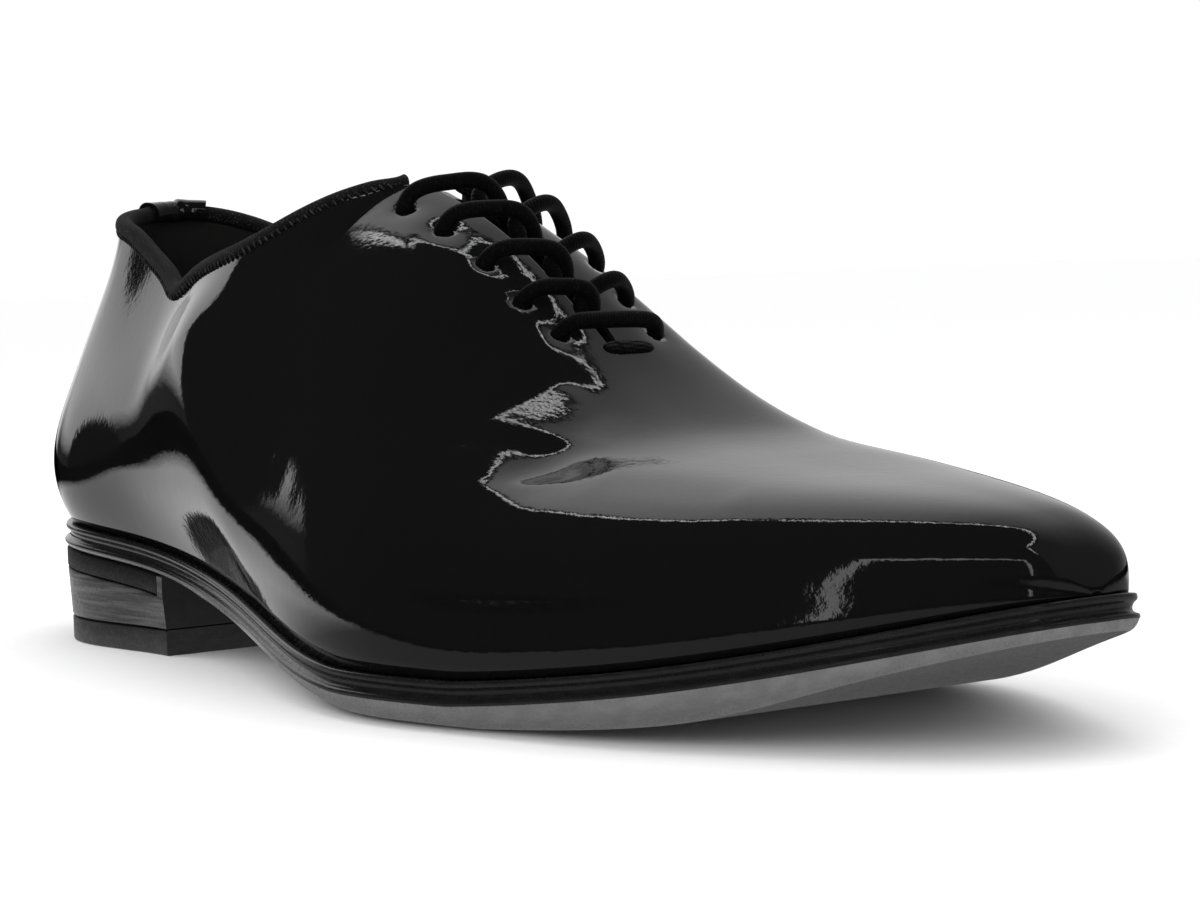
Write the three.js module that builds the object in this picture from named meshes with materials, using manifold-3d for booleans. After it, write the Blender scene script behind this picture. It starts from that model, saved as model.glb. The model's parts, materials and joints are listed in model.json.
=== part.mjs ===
// Patent leather oxford for the right foot, cut from one piece, on a thin sole with a low stacked heel.
// Millimetres. While modelling, x runs from the heel back to the toe tip, -y is the outer (little toe)
// side, and z is the height above the floor. The last lines centre the shoe on its own box.

import * as THREE from 'three';
import { mergeVertices } from 'three/addons/utils/BufferGeometryUtils.js';
import Module from 'manifold-3d';

const wasm = await Module();
wasm.setup();

// Sizes of the whole shoe
const length = 305; // sole, heel back to toe tip
const ballWidth = 108; // sole across the ball
const instepHeight = 92; // form above the sole at the instep
const backHeight = 71; // collar above the sole at the heel
const seatHeight = 26.8; // sole's upper face above the floor at the heel
const toeSpring = 17; // lift of the sole at the toe tip
const gap = 0.3; // between pieces that meet

// Sole and heel
const soleThickness = 9.4; // at the ball, edge band and tread together
const edgeHeight = 4.5; // the upright edge band, seen all round
const waistTread = 0.9; // what the tread adds under the band at waist and heel
const lipDepth = 0.9; // how far the band is hollowed between its two lips
const lowerLip = 0.4; // how far the lower lip stands out
const bevelInset = 8; // width of the rounded bevel under the forefoot
const heelLength = 73; // heel back to the breast
const randHeight = 4.2;
const randDepth = 3;
const randSetback = 2.6; // the rand stops short of the breast
const topPieceHeight = 5.6;
const heelTaper = 0.7; // how far the block draws in down to the top piece
const insoleThickness = 2.4;

// Upper
const wall = 1.8; // leather and lining together
const margin = 1.5; // the sole stands out past the upper
const throatAlong = 0.6; // shares of the length
const facingTopAlong = 0.42;
const facingGap = 12; // between the facings at their top
const bindingWidth = 4; // across the wall
const bindingHeight = 3.6;
const tabWidth = 15; // pull tab folded over the binding at the back
const tabThickness = 1.1;
const tongueThickness = 1.8;
const tongueOverlap = 10; // how far the tongue runs under each facing
const tongueDrop = 1.7; // clear space under the facings at the tongue's top

// Lacing
const laceDiameter = 3.5;
const laceArch = 3.6; // rise of the inner side's strand over the facing edge
const eyeletSetback = 11; // from the facing edge, outer side
const innerSetback = 9.8; // the same, inner side
const eyeletDiameter = 3.8;
const eyeletAlong = [0.451, 0.488, 0.526, 0.557, 0.582]; // rows, shares of the length
const barTack = { width: 3.4, height: 1.6, length: 12 };

// Form station where the heel's fan of sections ends
const heelCentre = 0.105;
const fanShare = 0.1;

// Sole outline: shares of the length and of the ball width
const outlineRows = [
  { along: 0.0, near: 0.06, far: -0.06 },
  { along: 0.028, near: 0.258, far: 0.125 },
  { along: 0.105, near: 0.42, far: 0.265 },
  { along: 0.21, near: 0.405, far: 0.24 },
  { along: 0.35, near: 0.43, far: 0.2 },
  { along: 0.48, near: 0.518, far: 0.27 },
  { along: 0.61, near: 0.562, far: 0.41 },
  { along: 0.7, near: 0.5, far: 0.49 },
  { along: 0.8, near: 0.408, far: 0.472 },
  { along: 0.89, near: 0.263, far: 0.37 },
  { along: 0.96, near: 0.115, far: 0.27 },
  { along: 0.992, near: 0.0, far: 0.21 },
  { along: 1.0, near: -0.11, far: 0.11 },
];

// Sole profile: shares of the heel lift and of the toe spring
const profileRows = [
  { along: 0.0, lift: 1.06, spring: 0 },
  { along: 0.1, lift: 1.0, spring: 0 },
  { along: 0.2, lift: 0.86, spring: 0 },
  { along: 0.3, lift: 0.63, spring: 0 },
  { along: 0.4, lift: 0.38, spring: 0 },
  { along: 0.5, lift: 0.13, spring: 0 },
  { along: 0.59, lift: -0.01, spring: 0 },
  { along: 0.67, lift: 0, spring: -0.01 },
  { along: 0.74, lift: 0, spring: 0.1 },
  { along: 0.82, lift: 0, spring: 0.29 },
  { along: 0.91, lift: 0, spring: 0.61 },
  { along: 1.0, lift: 0, spring: 1.0 },
];

// Tread under the edge band: share of its full depth at the ball
const treadRows = [
  { along: 0.0, depth: 0 },
  { along: 0.25, depth: 0 },
  { along: 0.35, depth: 0.45 },
  { along: 0.42, depth: 0.9 },
  { along: 0.5, depth: 1.12 },
  { along: 0.58, depth: 1.02 },
  { along: 0.67, depth: 1 },
  { along: 0.74, depth: 1.18 },
  { along: 0.82, depth: 1.2 },
  { along: 0.91, depth: 0.55 },
  { along: 1.0, depth: 0.2 },
];

// Sections of the form. turn 180 points back and 90 across. height is a share of the instep height and
// ridge of the ball width. Each half has a foot, four shoulders (out: share of the half width, up: share
// of the height) and the ridge. swell is added to the second shoulder on the outer side, and half of it
// to the third.
const sectionColumns = ['along', 'turn', 'height', 'ridge', 'out', 'up', 'swell'];
const sectionRows = [
  [0.105, 180, 1.043, -0.06, [1.23, 1.06, 0.58, 0.55], [0.12, 0.3, 0.61], 0],
  [0.105, 135, 1.043, -0.06, [1.27, 1.03, 0.58, 0.55], [0.12, 0.3, 0.61], 0.08],
  [0.105, 90, 1.043, -0.06, [1.18, 0.99, 0.6, 0.56], [0.12, 0.31, 0.62], -0.06],
  [0.2, 90, 1.022, -0.06, [1.13, 1.02, 0.65, 0.53], [0.12, 0.33, 0.64], 0.04],
  [0.31, 90, 1.0, -0.045, [1.08, 1.08, 0.76, 0.46], [0.14, 0.38, 0.72], 0.18],
  [0.42, 90, 0.935, -0.02, [1.08, 1.07, 0.79, 0.34], [0.16, 0.42, 0.8], 0.03],
  [0.52, 90, 0.813, 0.005, [1.07, 1.06, 0.8, 0.32], [0.18, 0.46, 0.86], -0.04],
  [0.62, 90, 0.554, 0.03, [1.05, 1.05, 0.79, 0.32], [0.2, 0.52, 0.92], 0],
  [0.74, 90, 0.39, 0.055, [1.04, 1.05, 0.8, 0.34], [0.22, 0.58, 0.96], 0],
  [0.85, 90, 0.301, 0.075, [1.05, 1.02, 0.77, 0.36], [0.24, 0.615, 0.94], 0],
  [0.93, 90, 0.219, 0.09, [1.05, 1.0, 0.76, 0.38], [0.25, 0.63, 0.895], 0],
  [0.98, 90, 0.126, 0.105, [1.05, 0.98, 0.76, 0.4], [0.27, 0.655, 0.87], 0],
  [1.0, 90, 0, 0.11, [1.03, 1.05, 0.88, 0.42], [0.3, 0.75, 1], 0],
].map((row) => Object.fromEntries(row.map((value, i) => [sectionColumns[i], value])));

// Collar line above the sole's upper face, shares of the back height: it falls from the back to the
// ankle and rises from there to the facings
const collarFall = [
  { along: 0.0, near: 0.985, far: 0.985 },
  { along: 0.05, near: 0.975, far: 0.98 },
  { along: 0.09, near: 0.95, far: 0.918 },
  { along: 0.125, near: 0.915, far: 0.866 },
  { along: 0.16, near: 0.858, far: 0.825 },
  { along: 0.2, near: 0.8, far: 0.785 },
  { along: 0.24, near: 0.762, far: 0.745 },
  { along: 0.3, near: 0.69, far: 0.67 },
];
const collarRise = [
  { along: 0.18, near: 0.66, far: 0.66 },
  { along: 0.22, near: 0.735, far: 0.757 },
  { along: 0.25, near: 0.823, far: 0.835 },
  { along: 0.313, near: 0.938, far: 0.95 },
  { along: 0.36, near: 1.028, far: 1.03 },
  { along: 0.38, near: 1.085, far: 1.08 },
  { along: 0.4, near: 1.148, far: 1.143 },
  { along: 0.42, near: 1.205, far: 1.2 },
  { along: 0.5, near: 1.3, far: 1.3 },
];
const ankleRounding = 4;

const colours = {
  patent: new THREE.MeshStandardMaterial({ color: 0x0a0a0b, roughness: 0.06, metalness: 0 }),
  textile: new THREE.MeshStandardMaterial({ color: 0x101010, roughness: 0.9, metalness: 0 }),
  cord: new THREE.MeshStandardMaterial({ color: 0x0c0c0c, roughness: 0.85, metalness: 0 }),
  lining: new THREE.MeshStandardMaterial({ color: 0x161514, roughness: 0.7, metalness: 0 }),
  sole: new THREE.MeshStandardMaterial({ color: 0x121212, roughness: 0.35, metalness: 0 }),
  rand: new THREE.MeshStandardMaterial({ color: 0x181818, roughness: 0.6, metalness: 0 }),
  stack: new THREE.MeshStandardMaterial({ color: 0x2c2c2c, roughness: 0.5, metalness: 0 }),
  rubber: new THREE.MeshStandardMaterial({ color: 0x1c1c1c, roughness: 0.7, metalness: 0 }),
};

// Curves through tables

function solveLinear(matrix, right) {
  const size = matrix.length;
  for (let pivot = 0; pivot < size; pivot++) {
    let best = pivot;
    for (let row = pivot + 1; row < size; row++) {
      if (Math.abs(matrix[row][pivot]) > Math.abs(matrix[best][pivot])) best = row;
    }
    [matrix[pivot], matrix[best]] = [matrix[best], matrix[pivot]];
    [right[pivot], right[best]] = [right[best], right[pivot]];
    for (let row = 0; row < size; row++) {
      if (row === pivot) continue;
      const factor = matrix[row][pivot] / matrix[pivot][pivot];
      for (let column = pivot; column < size; column++) {
        matrix[row][column] -= factor * matrix[pivot][column];
      }
      right[row] = right[row].map((value, column) => value - factor * right[pivot][column]);
    }
  }
  return right.map((row, index) => row.map((value) => value / matrix[index][index]));
}

function cubicPiece(from, to, bendFrom, bendTo, span, share) {
  const rest = 1 - share;
  return from.map((value, i) => {
    const straight = rest * value + share * to[i];
    const bend = (rest ** 3 - rest) * bendFrom[i] + (share ** 3 - share) * bendTo[i];
    return straight + (bend * span * span) / 6;
  });
}

// Natural cubic spline through rows of values
function openCurve(knots, rows) {
  const last = knots.length - 1;
  const zero = rows[0].map(() => 0);
  const matrix = knots.map((_, i) => knots.map((__, j) => (i === j ? 1 : 0)));
  const right = knots.map(() => [...zero]);
  for (let i = 1; i < last; i++) {
    const before = knots[i] - knots[i - 1];
    const after = knots[i + 1] - knots[i];
    matrix[i][i - 1] = before;
    matrix[i][i] = 2 * (before + after);
    matrix[i][i + 1] = after;
    right[i] = rows[i].map((value, k) => {
      return 6 * ((rows[i + 1][k] - value) / after - (value - rows[i - 1][k]) / before);
    });
  }
  const bends = solveLinear(matrix, right);
  return (at) => {
    const place = Math.min(Math.max(at, knots[0]), knots[last]);
    let i = 0;
    while (i < last - 1 && place > knots[i + 1]) i++;
    const span = knots[i + 1] - knots[i];
    return cubicPiece(rows[i], rows[i + 1], bends[i], bends[i + 1], span, (place - knots[i]) / span);
  };
}

// Closed cubic spline through points, each piece sampled in equal steps
function closedCurve(points, steps) {
  const count = points.length;
  const next = (i) => (i + 1) % count;
  const previous = (i) => (i + count - 1) % count;
  const spans = points.map((point, i) => {
    const other = points[next(i)];
    return Math.hypot(other[0] - point[0], other[1] - point[1]);
  });
  const matrix = points.map(() => points.map(() => 0));
  const right = points.map((point, i) => {
    const before = spans[previous(i)];
    const after = spans[i];
    matrix[i][previous(i)] += before;
    matrix[i][i] += 2 * (before + after);
    matrix[i][next(i)] += after;
    return point.map((value, k) => {
      return 6 * ((points[next(i)][k] - value) / after - (value - points[previous(i)][k]) / before);
    });
  });
  const bends = solveLinear(matrix, right);
  const loop = [];
  for (let i = 0; i < count; i++) {
    for (let step = 0; step < steps; step++) {
      loop.push(cubicPiece(points[i], points[next(i)], bends[i], bends[next(i)], spans[i], step / steps));
    }
  }
  return loop;
}

function tableCurve(rows, names) {
  const knots = rows.map((row) => row.along * length);
  return openCurve(knots, rows.map((row) => names.map((name) => row[name])));
}

function smoothMax(a, b, reach) {
  return Math.max(a, b) + Math.max(reach - Math.abs(a - b), 0) ** 2 / (4 * reach);
}

// Outline and profile of the sole

// Loop from the heel back along the outer side to the toe tip and back along the inner side. Points at
// equal steps before and after the tip face each other across the sole.
function soleOutline(steps) {
  const near = outlineRows.map((row) => [row.along * length, -row.near * ballWidth]);
  const far = outlineRows.slice(1, -1).map((row) => [row.along * length, row.far * ballWidth]);
  return closedCurve([...near, ...far.reverse()], steps);
}

function insetLoop(loop, insetAt) {
  return loop.map((point, i) => {
    const after = loop[(i + 1) % loop.length];
    const before = loop[(i + loop.length - 1) % loop.length];
    const along = [after[0] - before[0], after[1] - before[1]];
    const size = Math.hypot(along[0], along[1]);
    const inset = insetAt(point);
    return [point[0] - (along[1] / size) * inset, point[1] + (along[0] / size) * inset];
  });
}

const profileCurve = tableCurve(profileRows, ['lift', 'spring']);
const treadCurve = tableCurve(treadRows, ['depth']);

function soleTop(x) {
  const [lift, spring] = profileCurve(x);
  const rise = Math.max(lift * (seatHeight - soleThickness), 0) + Math.max(spring * toeSpring, 0);
  return soleThickness + rise;
}

function treadShare(x) {
  return Math.max(treadCurve(x)[0], 0);
}

function soleDepth(x) {
  const full = soleThickness - edgeHeight;
  return edgeHeight + waistTread + (full - waistTread) * treadShare(x);
}

// Form that the upper is made on

const feather = insetLoop(soleOutline(30), () => margin);
const toeX = Math.max(...feather.map((point) => point[0]));
const toeY = feather.find((point) => point[0] === toeX)[1];

function frontStation(x) {
  const share = THREE.MathUtils.clamp((x - heelCentre * length) / (toeX - heelCentre * length), 0, 1);
  return fanShare + ((1 - fanShare) * Math.asin(share)) / (Math.PI / 2);
}

const sectionStations = sectionRows.map((row) => {
  if (row.turn > 90) return (fanShare * (180 - row.turn)) / 90;
  return frontStation(Math.min(row.along * length, toeX));
});
const sectionCurve = openCurve(sectionStations, sectionRows.map((row) => {
  return [row.height, row.ridge, ...row.out, ...row.up, row.swell];
}));

// Distance from a point to the feather line along a direction
function reachToFeather(x, y, direction) {
  let reach = 0;
  for (let i = 0; i < feather.length; i++) {
    const a = feather[i];
    const b = feather[(i + 1) % feather.length];
    const sideA = (a[0] - x) * direction[1] - (a[1] - y) * direction[0];
    const sideB = (b[0] - x) * direction[1] - (b[1] - y) * direction[0];
    if (sideA * sideB > 0 || sideA === sideB) continue;
    const share = sideA / (sideA - sideB);
    const along = (a[0] - x) * direction[0] + (a[1] - y) * direction[1];
    const alongB = (b[0] - x) * direction[0] + (b[1] - y) * direction[1];
    reach = Math.max(reach, along * (1 - share) + alongB * share);
  }
  return reach;
}

// Eleven control points of a section: outer foot, four shoulders, ridge, four shoulders, inner foot
function sectionControls(station) {
  const heelX = heelCentre * length;
  const share = Math.max(station - fanShare, 0) / (1 - fanShare);
  const x = heelX + (toeX - heelX) * Math.sin((Math.PI / 2) * share);
  const turn = Math.PI - (Math.PI / 2) * Math.min(station / fanShare, 1);
  const [height, ridge, ...rest] = sectionCurve(station);
  const outs = [1, ...rest.slice(0, 4)];
  const ups = [0, ...rest.slice(4, 7), 1];
  const swells = [0, 0, rest[7], rest[7] / 2, 0];
  const full = height * instepHeight;
  const ridgeY = station < 1 ? ridge * ballWidth : toeY;
  const controls = new Array(11);
  for (const side of [-1, 1]) {
    const direction = [Math.cos(turn), side * Math.sin(turn)];
    const reach = station < 1 ? reachToFeather(x, ridgeY, direction) : 0;
    const foot = soleTop(x + reach * direction[0]) + gap;
    outs.forEach((even, k) => {
      const out = even + (side < 0 ? swells[k] : 0);
      const place = new THREE.Vector3(
        x + reach * out * direction[0],
        ridgeY + reach * out * direction[1],
        foot + full * ups[k],
      );
      controls[side < 0 ? k : 10 - k] = place;
    });
  }
  controls[5] = new THREE.Vector3(x, ridgeY, soleTop(x) + gap + full);
  return controls;
}

// Point of a clamped cubic B-spline over eleven control points
function splinePoint(controls, t) {
  const pieces = controls.length - 3;
  const place = THREE.MathUtils.clamp(t, 0, 1 - 1e-12) * pieces;
  const first = Math.floor(place);
  const knot = (i) => THREE.MathUtils.clamp(i - 3, 0, pieces);
  const work = controls.slice(first, first + 4).map((point) => point.clone());
  for (let level = 1; level <= 3; level++) {
    for (let k = 3; k >= level; k--) {
      const low = knot(first + k);
      const high = knot(first + k + 4 - level);
      const share = (place - low) / (high - low);
      work[k].lerpVectors(work[k - 1], work[k], share);
    }
  }
  return work[3];
}

const stationStep = 1e-4;

// A section with its neighbours, for slopes along the shoe
function makeStation(station) {
  return {
    station,
    here: sectionControls(station),
    before: sectionControls(Math.max(station - stationStep, 0)),
    after: sectionControls(Math.min(station + stationStep, 1)),
    ridgeY: sectionControls(station)[5].y,
  };
}

function slopes(section, t) {
  const along = splinePoint(section.after, t).sub(splinePoint(section.before, t));
  const high = Math.min(t + stationStep, 1);
  const low = Math.max(t - stationStep, 0);
  const across = splinePoint(section.here, high).sub(splinePoint(section.here, low));
  const alongSpan = Math.min(section.station + stationStep, 1) - Math.max(section.station - stationStep, 0);
  return { along: along.divideScalar(alongSpan), across: across.divideScalar(high - low) };
}

// Outward normal of the form
function formNormal(section, t) {
  const { along, across } = slopes(section, t);
  const normal = new THREE.Vector3().crossVectors(along, across);
  if (section.station >= 1 || normal.length() < 1e-9) return new THREE.Vector3(1, 0, 0);
  return normal.normalize();
}

// Opening of the upper

const fallCurve = tableCurve(collarFall, ['near', 'far']);
const riseCurve = tableCurve(collarRise, ['near', 'far']);

function collarHeight(x, side) {
  const column = side < 0 ? 0 : 1;
  const share = smoothMax(
    fallCurve(x)[column] * backHeight,
    riseCurve(x)[column] * backHeight,
    ankleRounding,
  );
  return soleTop(x) + share;
}

// Half width of the slit between the facings, negative where there is none
function slitHalf(x) {
  const share = (throatAlong * length - x) / ((throatAlong - facingTopAlong) * length);
  if (share < 0) return share * facingGap;
  return (facingGap / 2) * Math.min(share, 1.15) ** 0.85;
}

function eyeletOffset(x, side) {
  return slitHalf(x) + (side < 0 ? eyeletSetback : innerSetback);
}

function aboveCollar(point, side) {
  return point.z - collarHeight(point.x, side);
}

// Distance past the collar line, measured on the surface
function pastCollar(section, t, side) {
  const { along, across } = slopes(section, t);
  const here = splinePoint(section.here, t);
  const value = aboveCollar(here, side);
  const stepAlong = along.clone().multiplyScalar(stationStep).add(here);
  const stepAcross = across.clone().multiplyScalar(stationStep).add(here);
  const slopeAlong = (aboveCollar(stepAlong, side) - value) / stationStep;
  const slopeAcross = (aboveCollar(stepAcross, side) - value) / stationStep;
  const aa = along.dot(along);
  const ac = along.dot(across);
  const cc = across.dot(across);
  const square = (cc * slopeAlong ** 2 - 2 * ac * slopeAlong * slopeAcross + aa * slopeAcross ** 2);
  return value / Math.sqrt(square / (aa * cc - ac * ac));
}

// First place on a half section, from the foot up, where a measure turns positive
function firstCrossing(measure) {
  const steps = 80;
  let low = 0.05;
  let lowValue = measure(low);
  for (let step = 1; step <= steps; step++) {
    let high = 0.05 + (0.45 * step) / steps;
    let highValue = measure(high);
    if (lowValue < 0 && highValue >= 0) {
      for (let turn = 0; turn < 30; turn++) {
        const middle = (low + high) / 2;
        if (measure(middle) < 0) low = middle;
        else high = middle;
      }
      return (low + high) / 2;
    }
    low = high;
    lowValue = highValue;
  }
  return null;
}

const sideT = (half, side) => (side < 0 ? half : 1 - half);

function pastFacing(section, half, side) {
  const point = splinePoint(section.here, sideT(half, side));
  if (point.x < (facingTopAlong - 0.08) * length) return -facingGap;
  return slitHalf(point.x) - Math.abs(point.y - section.ridgeY);
}

// Where the upper ends on one side of a section; half way across where it is closed
function upperEdge(section, side) {
  const lowered = bindingHeight / 2 + gap;
  const crossing = firstCrossing((half) => {
    const collar = pastCollar(section, sideT(half, side), side) + lowered;
    return Math.max(collar, pastFacing(section, half, side));
  });
  return crossing ?? 0.5;
}

// Where the collar line runs on one side of a section, before it meets the facing
function collarEdge(section, side) {
  const crossing = firstCrossing((half) => pastCollar(section, sideT(half, side), side));
  if (crossing === null || pastFacing(section, crossing, side) > 0) return null;
  return crossing;
}

// Meshes

function solidFromTriangles(triangles) {
  const positions = [];
  for (const [a, b, c] of triangles) {
    const area = new THREE.Vector3().crossVectors(b.clone().sub(a), c.clone().sub(a)).length();
    if (area < 1e-7) continue;
    for (const corner of [a, b, c]) positions.push(corner.x, corner.y, corner.z);
  }
  const geometry = new THREE.BufferGeometry();
  geometry.setAttribute('position', new THREE.Float32BufferAttribute(positions, 3));
  return turnOutward(mergeVertices(geometry, 1e-4));
}

// Merged vertices can leave triangles with two equal corners; they are dropped, and a solid whose faces
// point inwards is turned
function turnOutward(geometry) {
  const index = Array.from(geometry.getIndex().array);
  const place = geometry.getAttribute('position');
  const kept = [];
  let volume = 0;
  const corner = [new THREE.Vector3(), new THREE.Vector3(), new THREE.Vector3()];
  for (let i = 0; i < index.length; i += 3) {
    const [a, b, c] = index.slice(i, i + 3);
    if (a === b || b === c || c === a) continue;
    kept.push([a, b, c]);
    [a, b, c].forEach((vertex, k) => corner[k].fromBufferAttribute(place, vertex));
    volume += corner[0].dot(corner[1].clone().cross(corner[2]));
  }
  geometry.setIndex(kept.flatMap(([a, b, c]) => (volume < 0 ? [a, c, b] : [a, b, c])));
  return geometry;
}

function quad(triangles, a, b, c, d) {
  triangles.push([a, b, c], [a, c, d]);
}

// Walls between closed rings of equal count, with the first and last ring closed across by pairs
function stackRings(rings, pairShift) {
  const count = rings[0].length;
  const triangles = [];
  for (let level = 0; level < rings.length - 1; level++) {
    for (let i = 0; i < count; i++) {
      const j = (i + 1) % count;
      quad(triangles, rings[level][i], rings[level][j], rings[level + 1][j], rings[level + 1][i]);
    }
  }
  const across = (k) => (2 * count - pairShift - k) % count;
  const half = Math.floor((count - pairShift) / 2);
  for (let k = 0; k < half; k++) {
    const top = rings[0];
    const bottom = rings[rings.length - 1];
    quad(triangles, top[k], top[across(k)], top[across(k + 1)], top[k + 1]);
    quad(triangles, bottom[k], bottom[k + 1], bottom[across(k + 1)], bottom[across(k)]);
  }
  return solidFromTriangles(triangles);
}

// Closed profiles along an open route, with flat ends; profiles[i] is the section at route point i
function stackProfiles(profiles) {
  const triangles = [];
  const count = profiles[0].length;
  for (let i = 0; i < profiles.length - 1; i++) {
    for (let k = 0; k < count; k++) {
      const n = (k + 1) % count;
      quad(triangles, profiles[i][k], profiles[i][n], profiles[i + 1][n], profiles[i + 1][k]);
    }
  }
  const shape = profiles[0].map((point) => new THREE.Vector2(point.flat[0], point.flat[1]));
  for (const [a, b, c] of THREE.ShapeUtils.triangulateShape(shape, [])) {
    const first = profiles[0];
    const last = profiles[profiles.length - 1];
    const sameWay = THREE.ShapeUtils.area(shape) > 0;
    if (sameWay) triangles.push([first[a], first[c], first[b]], [last[a], last[b], last[c]]);
    else triangles.push([first[a], first[b], first[c]], [last[a], last[c], last[b]]);
  }
  return solidFromTriangles(triangles);
}

// Puts a flat profile at a place, with its own two directions
function placeProfile(profile, centre, right, up) {
  return profile.map(([a, b]) => {
    const point = centre.clone().addScaledVector(right, a).addScaledVector(up, b);
    point.flat = [a, b];
    return point;
  });
}

function oval(width, height, sides) {
  return Array.from({ length: sides }, (_, k) => {
    const turn = (2 * Math.PI * (k + 0.5)) / sides;
    return [(width / 2) * Math.cos(turn), (height / 2) * Math.sin(turn)];
  });
}

function toSolid(geometry) {
  const plain = geometry.clone();
  for (const name of Object.keys(plain.attributes)) {
    if (name !== 'position') plain.deleteAttribute(name);
  }
  const merged = turnOutward(mergeVertices(plain, 1e-4));
  return new wasm.Manifold(new wasm.Mesh({
    numProp: 3,
    vertProperties: new Float32Array(merged.getAttribute('position').array),
    triVerts: new Uint32Array(merged.getIndex().array),
  }));
}

function toGeometry(solid) {
  const mesh = solid.getMesh();
  const geometry = new THREE.BufferGeometry();
  geometry.setAttribute('position', new THREE.Float32BufferAttribute(mesh.vertProperties, 3));
  geometry.setIndex(Array.from(mesh.triVerts));
  return geometry;
}

const spread = (from, to, steps) => {
  return Array.from({ length: steps + 1 }, (_, i) => from + ((to - from) * i) / steps);
};

// Place on the form at a distance from the ridge, moved out along the normal
function onForm(x, fromRidge, side, lift) {
  const section = makeStation(frontStation(x));
  const distance = (half) => Math.abs(splinePoint(section.here, sideT(half, side)).y - section.ridgeY);
  let low = 0.2;
  let high = 0.5;
  for (let turn = 0; turn < 40; turn++) {
    const middle = (low + high) / 2;
    if (distance(middle) > fromRidge) low = middle;
    else high = middle;
  }
  const t = sideT((low + high) / 2, side);
  const normal = formNormal(section, t);
  return { point: splinePoint(section.here, t).addScaledVector(normal, lift), normal };
}

// Upper

const acrossSteps = 10;
const tabStations = halfTabStations();
const upperStations = [
  ...tabStations,
  ...spread(tabStations[3], fanShare, 5).slice(1),
  ...spread(fanShare, frontStation(0.36 * length), 8).slice(1),
  ...spread(frontStation(0.36 * length), frontStation(0.44 * length), 9).slice(1),
  ...spread(frontStation(0.44 * length), frontStation(throatAlong * length), 8).slice(1),
  ...spread(frontStation(throatAlong * length), 1, 14).slice(1),
];

function makeUpperShell() {
  const sections = upperStations.map(makeStation);
  const edges = sections.map((section) => ({ '-1': upperEdge(section, -1), 1: upperEdge(section, 1) }));
  const grids = {};
  for (const side of [-1, 1]) {
    grids[side] = sections.map((section, i) => spread(0, edges[i][side], acrossSteps).map((half) => {
      const t = sideT(half, side);
      const outer = splinePoint(section.here, t);
      const inner = outer.clone().addScaledVector(formNormal(section, t), -wall);
      if (half === 0) inner.z = outer.z;
      return { outer, inner };
    }));
  }
  const closed = edges.map((edge) => edge[-1] === 0.5 && edge[1] === 0.5);
  closed.forEach((shut, i) => {
    if (!shut) return;
    grids[1][i][acrossSteps].outer = grids[-1][i][acrossSteps].outer;
    grids[1][i][acrossSteps].inner = grids[-1][i][acrossSteps].inner;
  });
  grids[1][0] = grids[1][0].map((_, j) => grids[-1][0][j]);
  const triangles = [];
  const face = (side, a, b, c, d) => (side < 0 ? quad(triangles, a, b, c, d) : quad(triangles, d, c, b, a));
  for (const side of [-1, 1]) {
    for (let i = 0; i < sections.length - 1; i++) {
      const here = grids[side][i];
      const next = grids[side][i + 1];
      for (let j = 0; j < acrossSteps; j++) {
        face(side, here[j].outer, next[j].outer, next[j + 1].outer, here[j + 1].outer);
        face(side, here[j + 1].inner, next[j + 1].inner, next[j].inner, here[j].inner);
      }
      face(side, here[0].inner, next[0].inner, next[0].outer, here[0].outer);
      if (closed[i] && closed[i + 1]) continue;
      const top = acrossSteps;
      face(side, here[top].outer, next[top].outer, next[top].inner, here[top].inner);
    }
  }
  return solidFromTriangles(triangles);
}

function makeUpper() {
  let solid = toSolid(makeUpperShell());
  for (const along of eyeletAlong) {
    for (const side of [-1, 1]) {
      const x = along * length;
      const { point, normal } = onForm(x, eyeletOffset(x, side), side, 0);
      const punch = new THREE.CylinderGeometry(eyeletDiameter / 2, eyeletDiameter / 2, wall * 4, 10);
      punch.applyQuaternion(new THREE.Quaternion().setFromUnitVectors(new THREE.Vector3(0, 1, 0), normal));
      punch.translate(point.x, point.y, point.z);
      solid = solid.subtract(toSolid(punch));
    }
  }
  return toGeometry(solid);
}

// Binding and pull tab along the collar

// Middle of the wall on the collar line, with the directions out of the shoe and up from the edge
function collarFrame(station, side) {
  const section = makeStation(station);
  const half = collarEdge(section, side);
  if (half === null) return null;
  const t = sideT(half, side);
  const normal = formNormal(section, t);
  const { along, across } = slopes(section, t);
  const here = splinePoint(section.here, t);
  const value = aboveCollar(here, side);
  const slopeAlong = aboveCollar(along.clone().multiplyScalar(stationStep).add(here), side) - value;
  const slopeAcross = aboveCollar(across.clone().multiplyScalar(stationStep).add(here), side) - value;
  const route = along.clone().multiplyScalar(slopeAcross).addScaledVector(across, -slopeAlong).normalize();
  const up = new THREE.Vector3().crossVectors(normal, route).normalize();
  if (up.z < 0) up.negate();
  return { centre: here.addScaledVector(normal, -wall / 2), out: normal, up };
}

// Past the collar line's last station the binding runs on to the corner of the facing
function cornerFrame(station, side, before) {
  const section = makeStation(station);
  const t = sideT(upperEdge(section, side), side);
  const normal = formNormal(section, t);
  const centre = splinePoint(section.here, t).addScaledVector(normal, -wall / 2);
  return { centre: centre.addScaledVector(before.up, bindingHeight / 2 + gap), out: normal, up: before.up };
}

function collarSide(stations, side) {
  const frames = stations.map((station) => collarFrame(station, side));
  const count = frames.findLastIndex(Boolean) + 1;
  if (count === stations.length) return frames;
  return [...frames.slice(0, count), cornerFrame(stations[count], side, frames[count - 1])];
}

function collarRoute(stations) {
  return [...collarSide(stations, -1).reverse(), ...collarSide(stations, 1).slice(1)];
}

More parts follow.
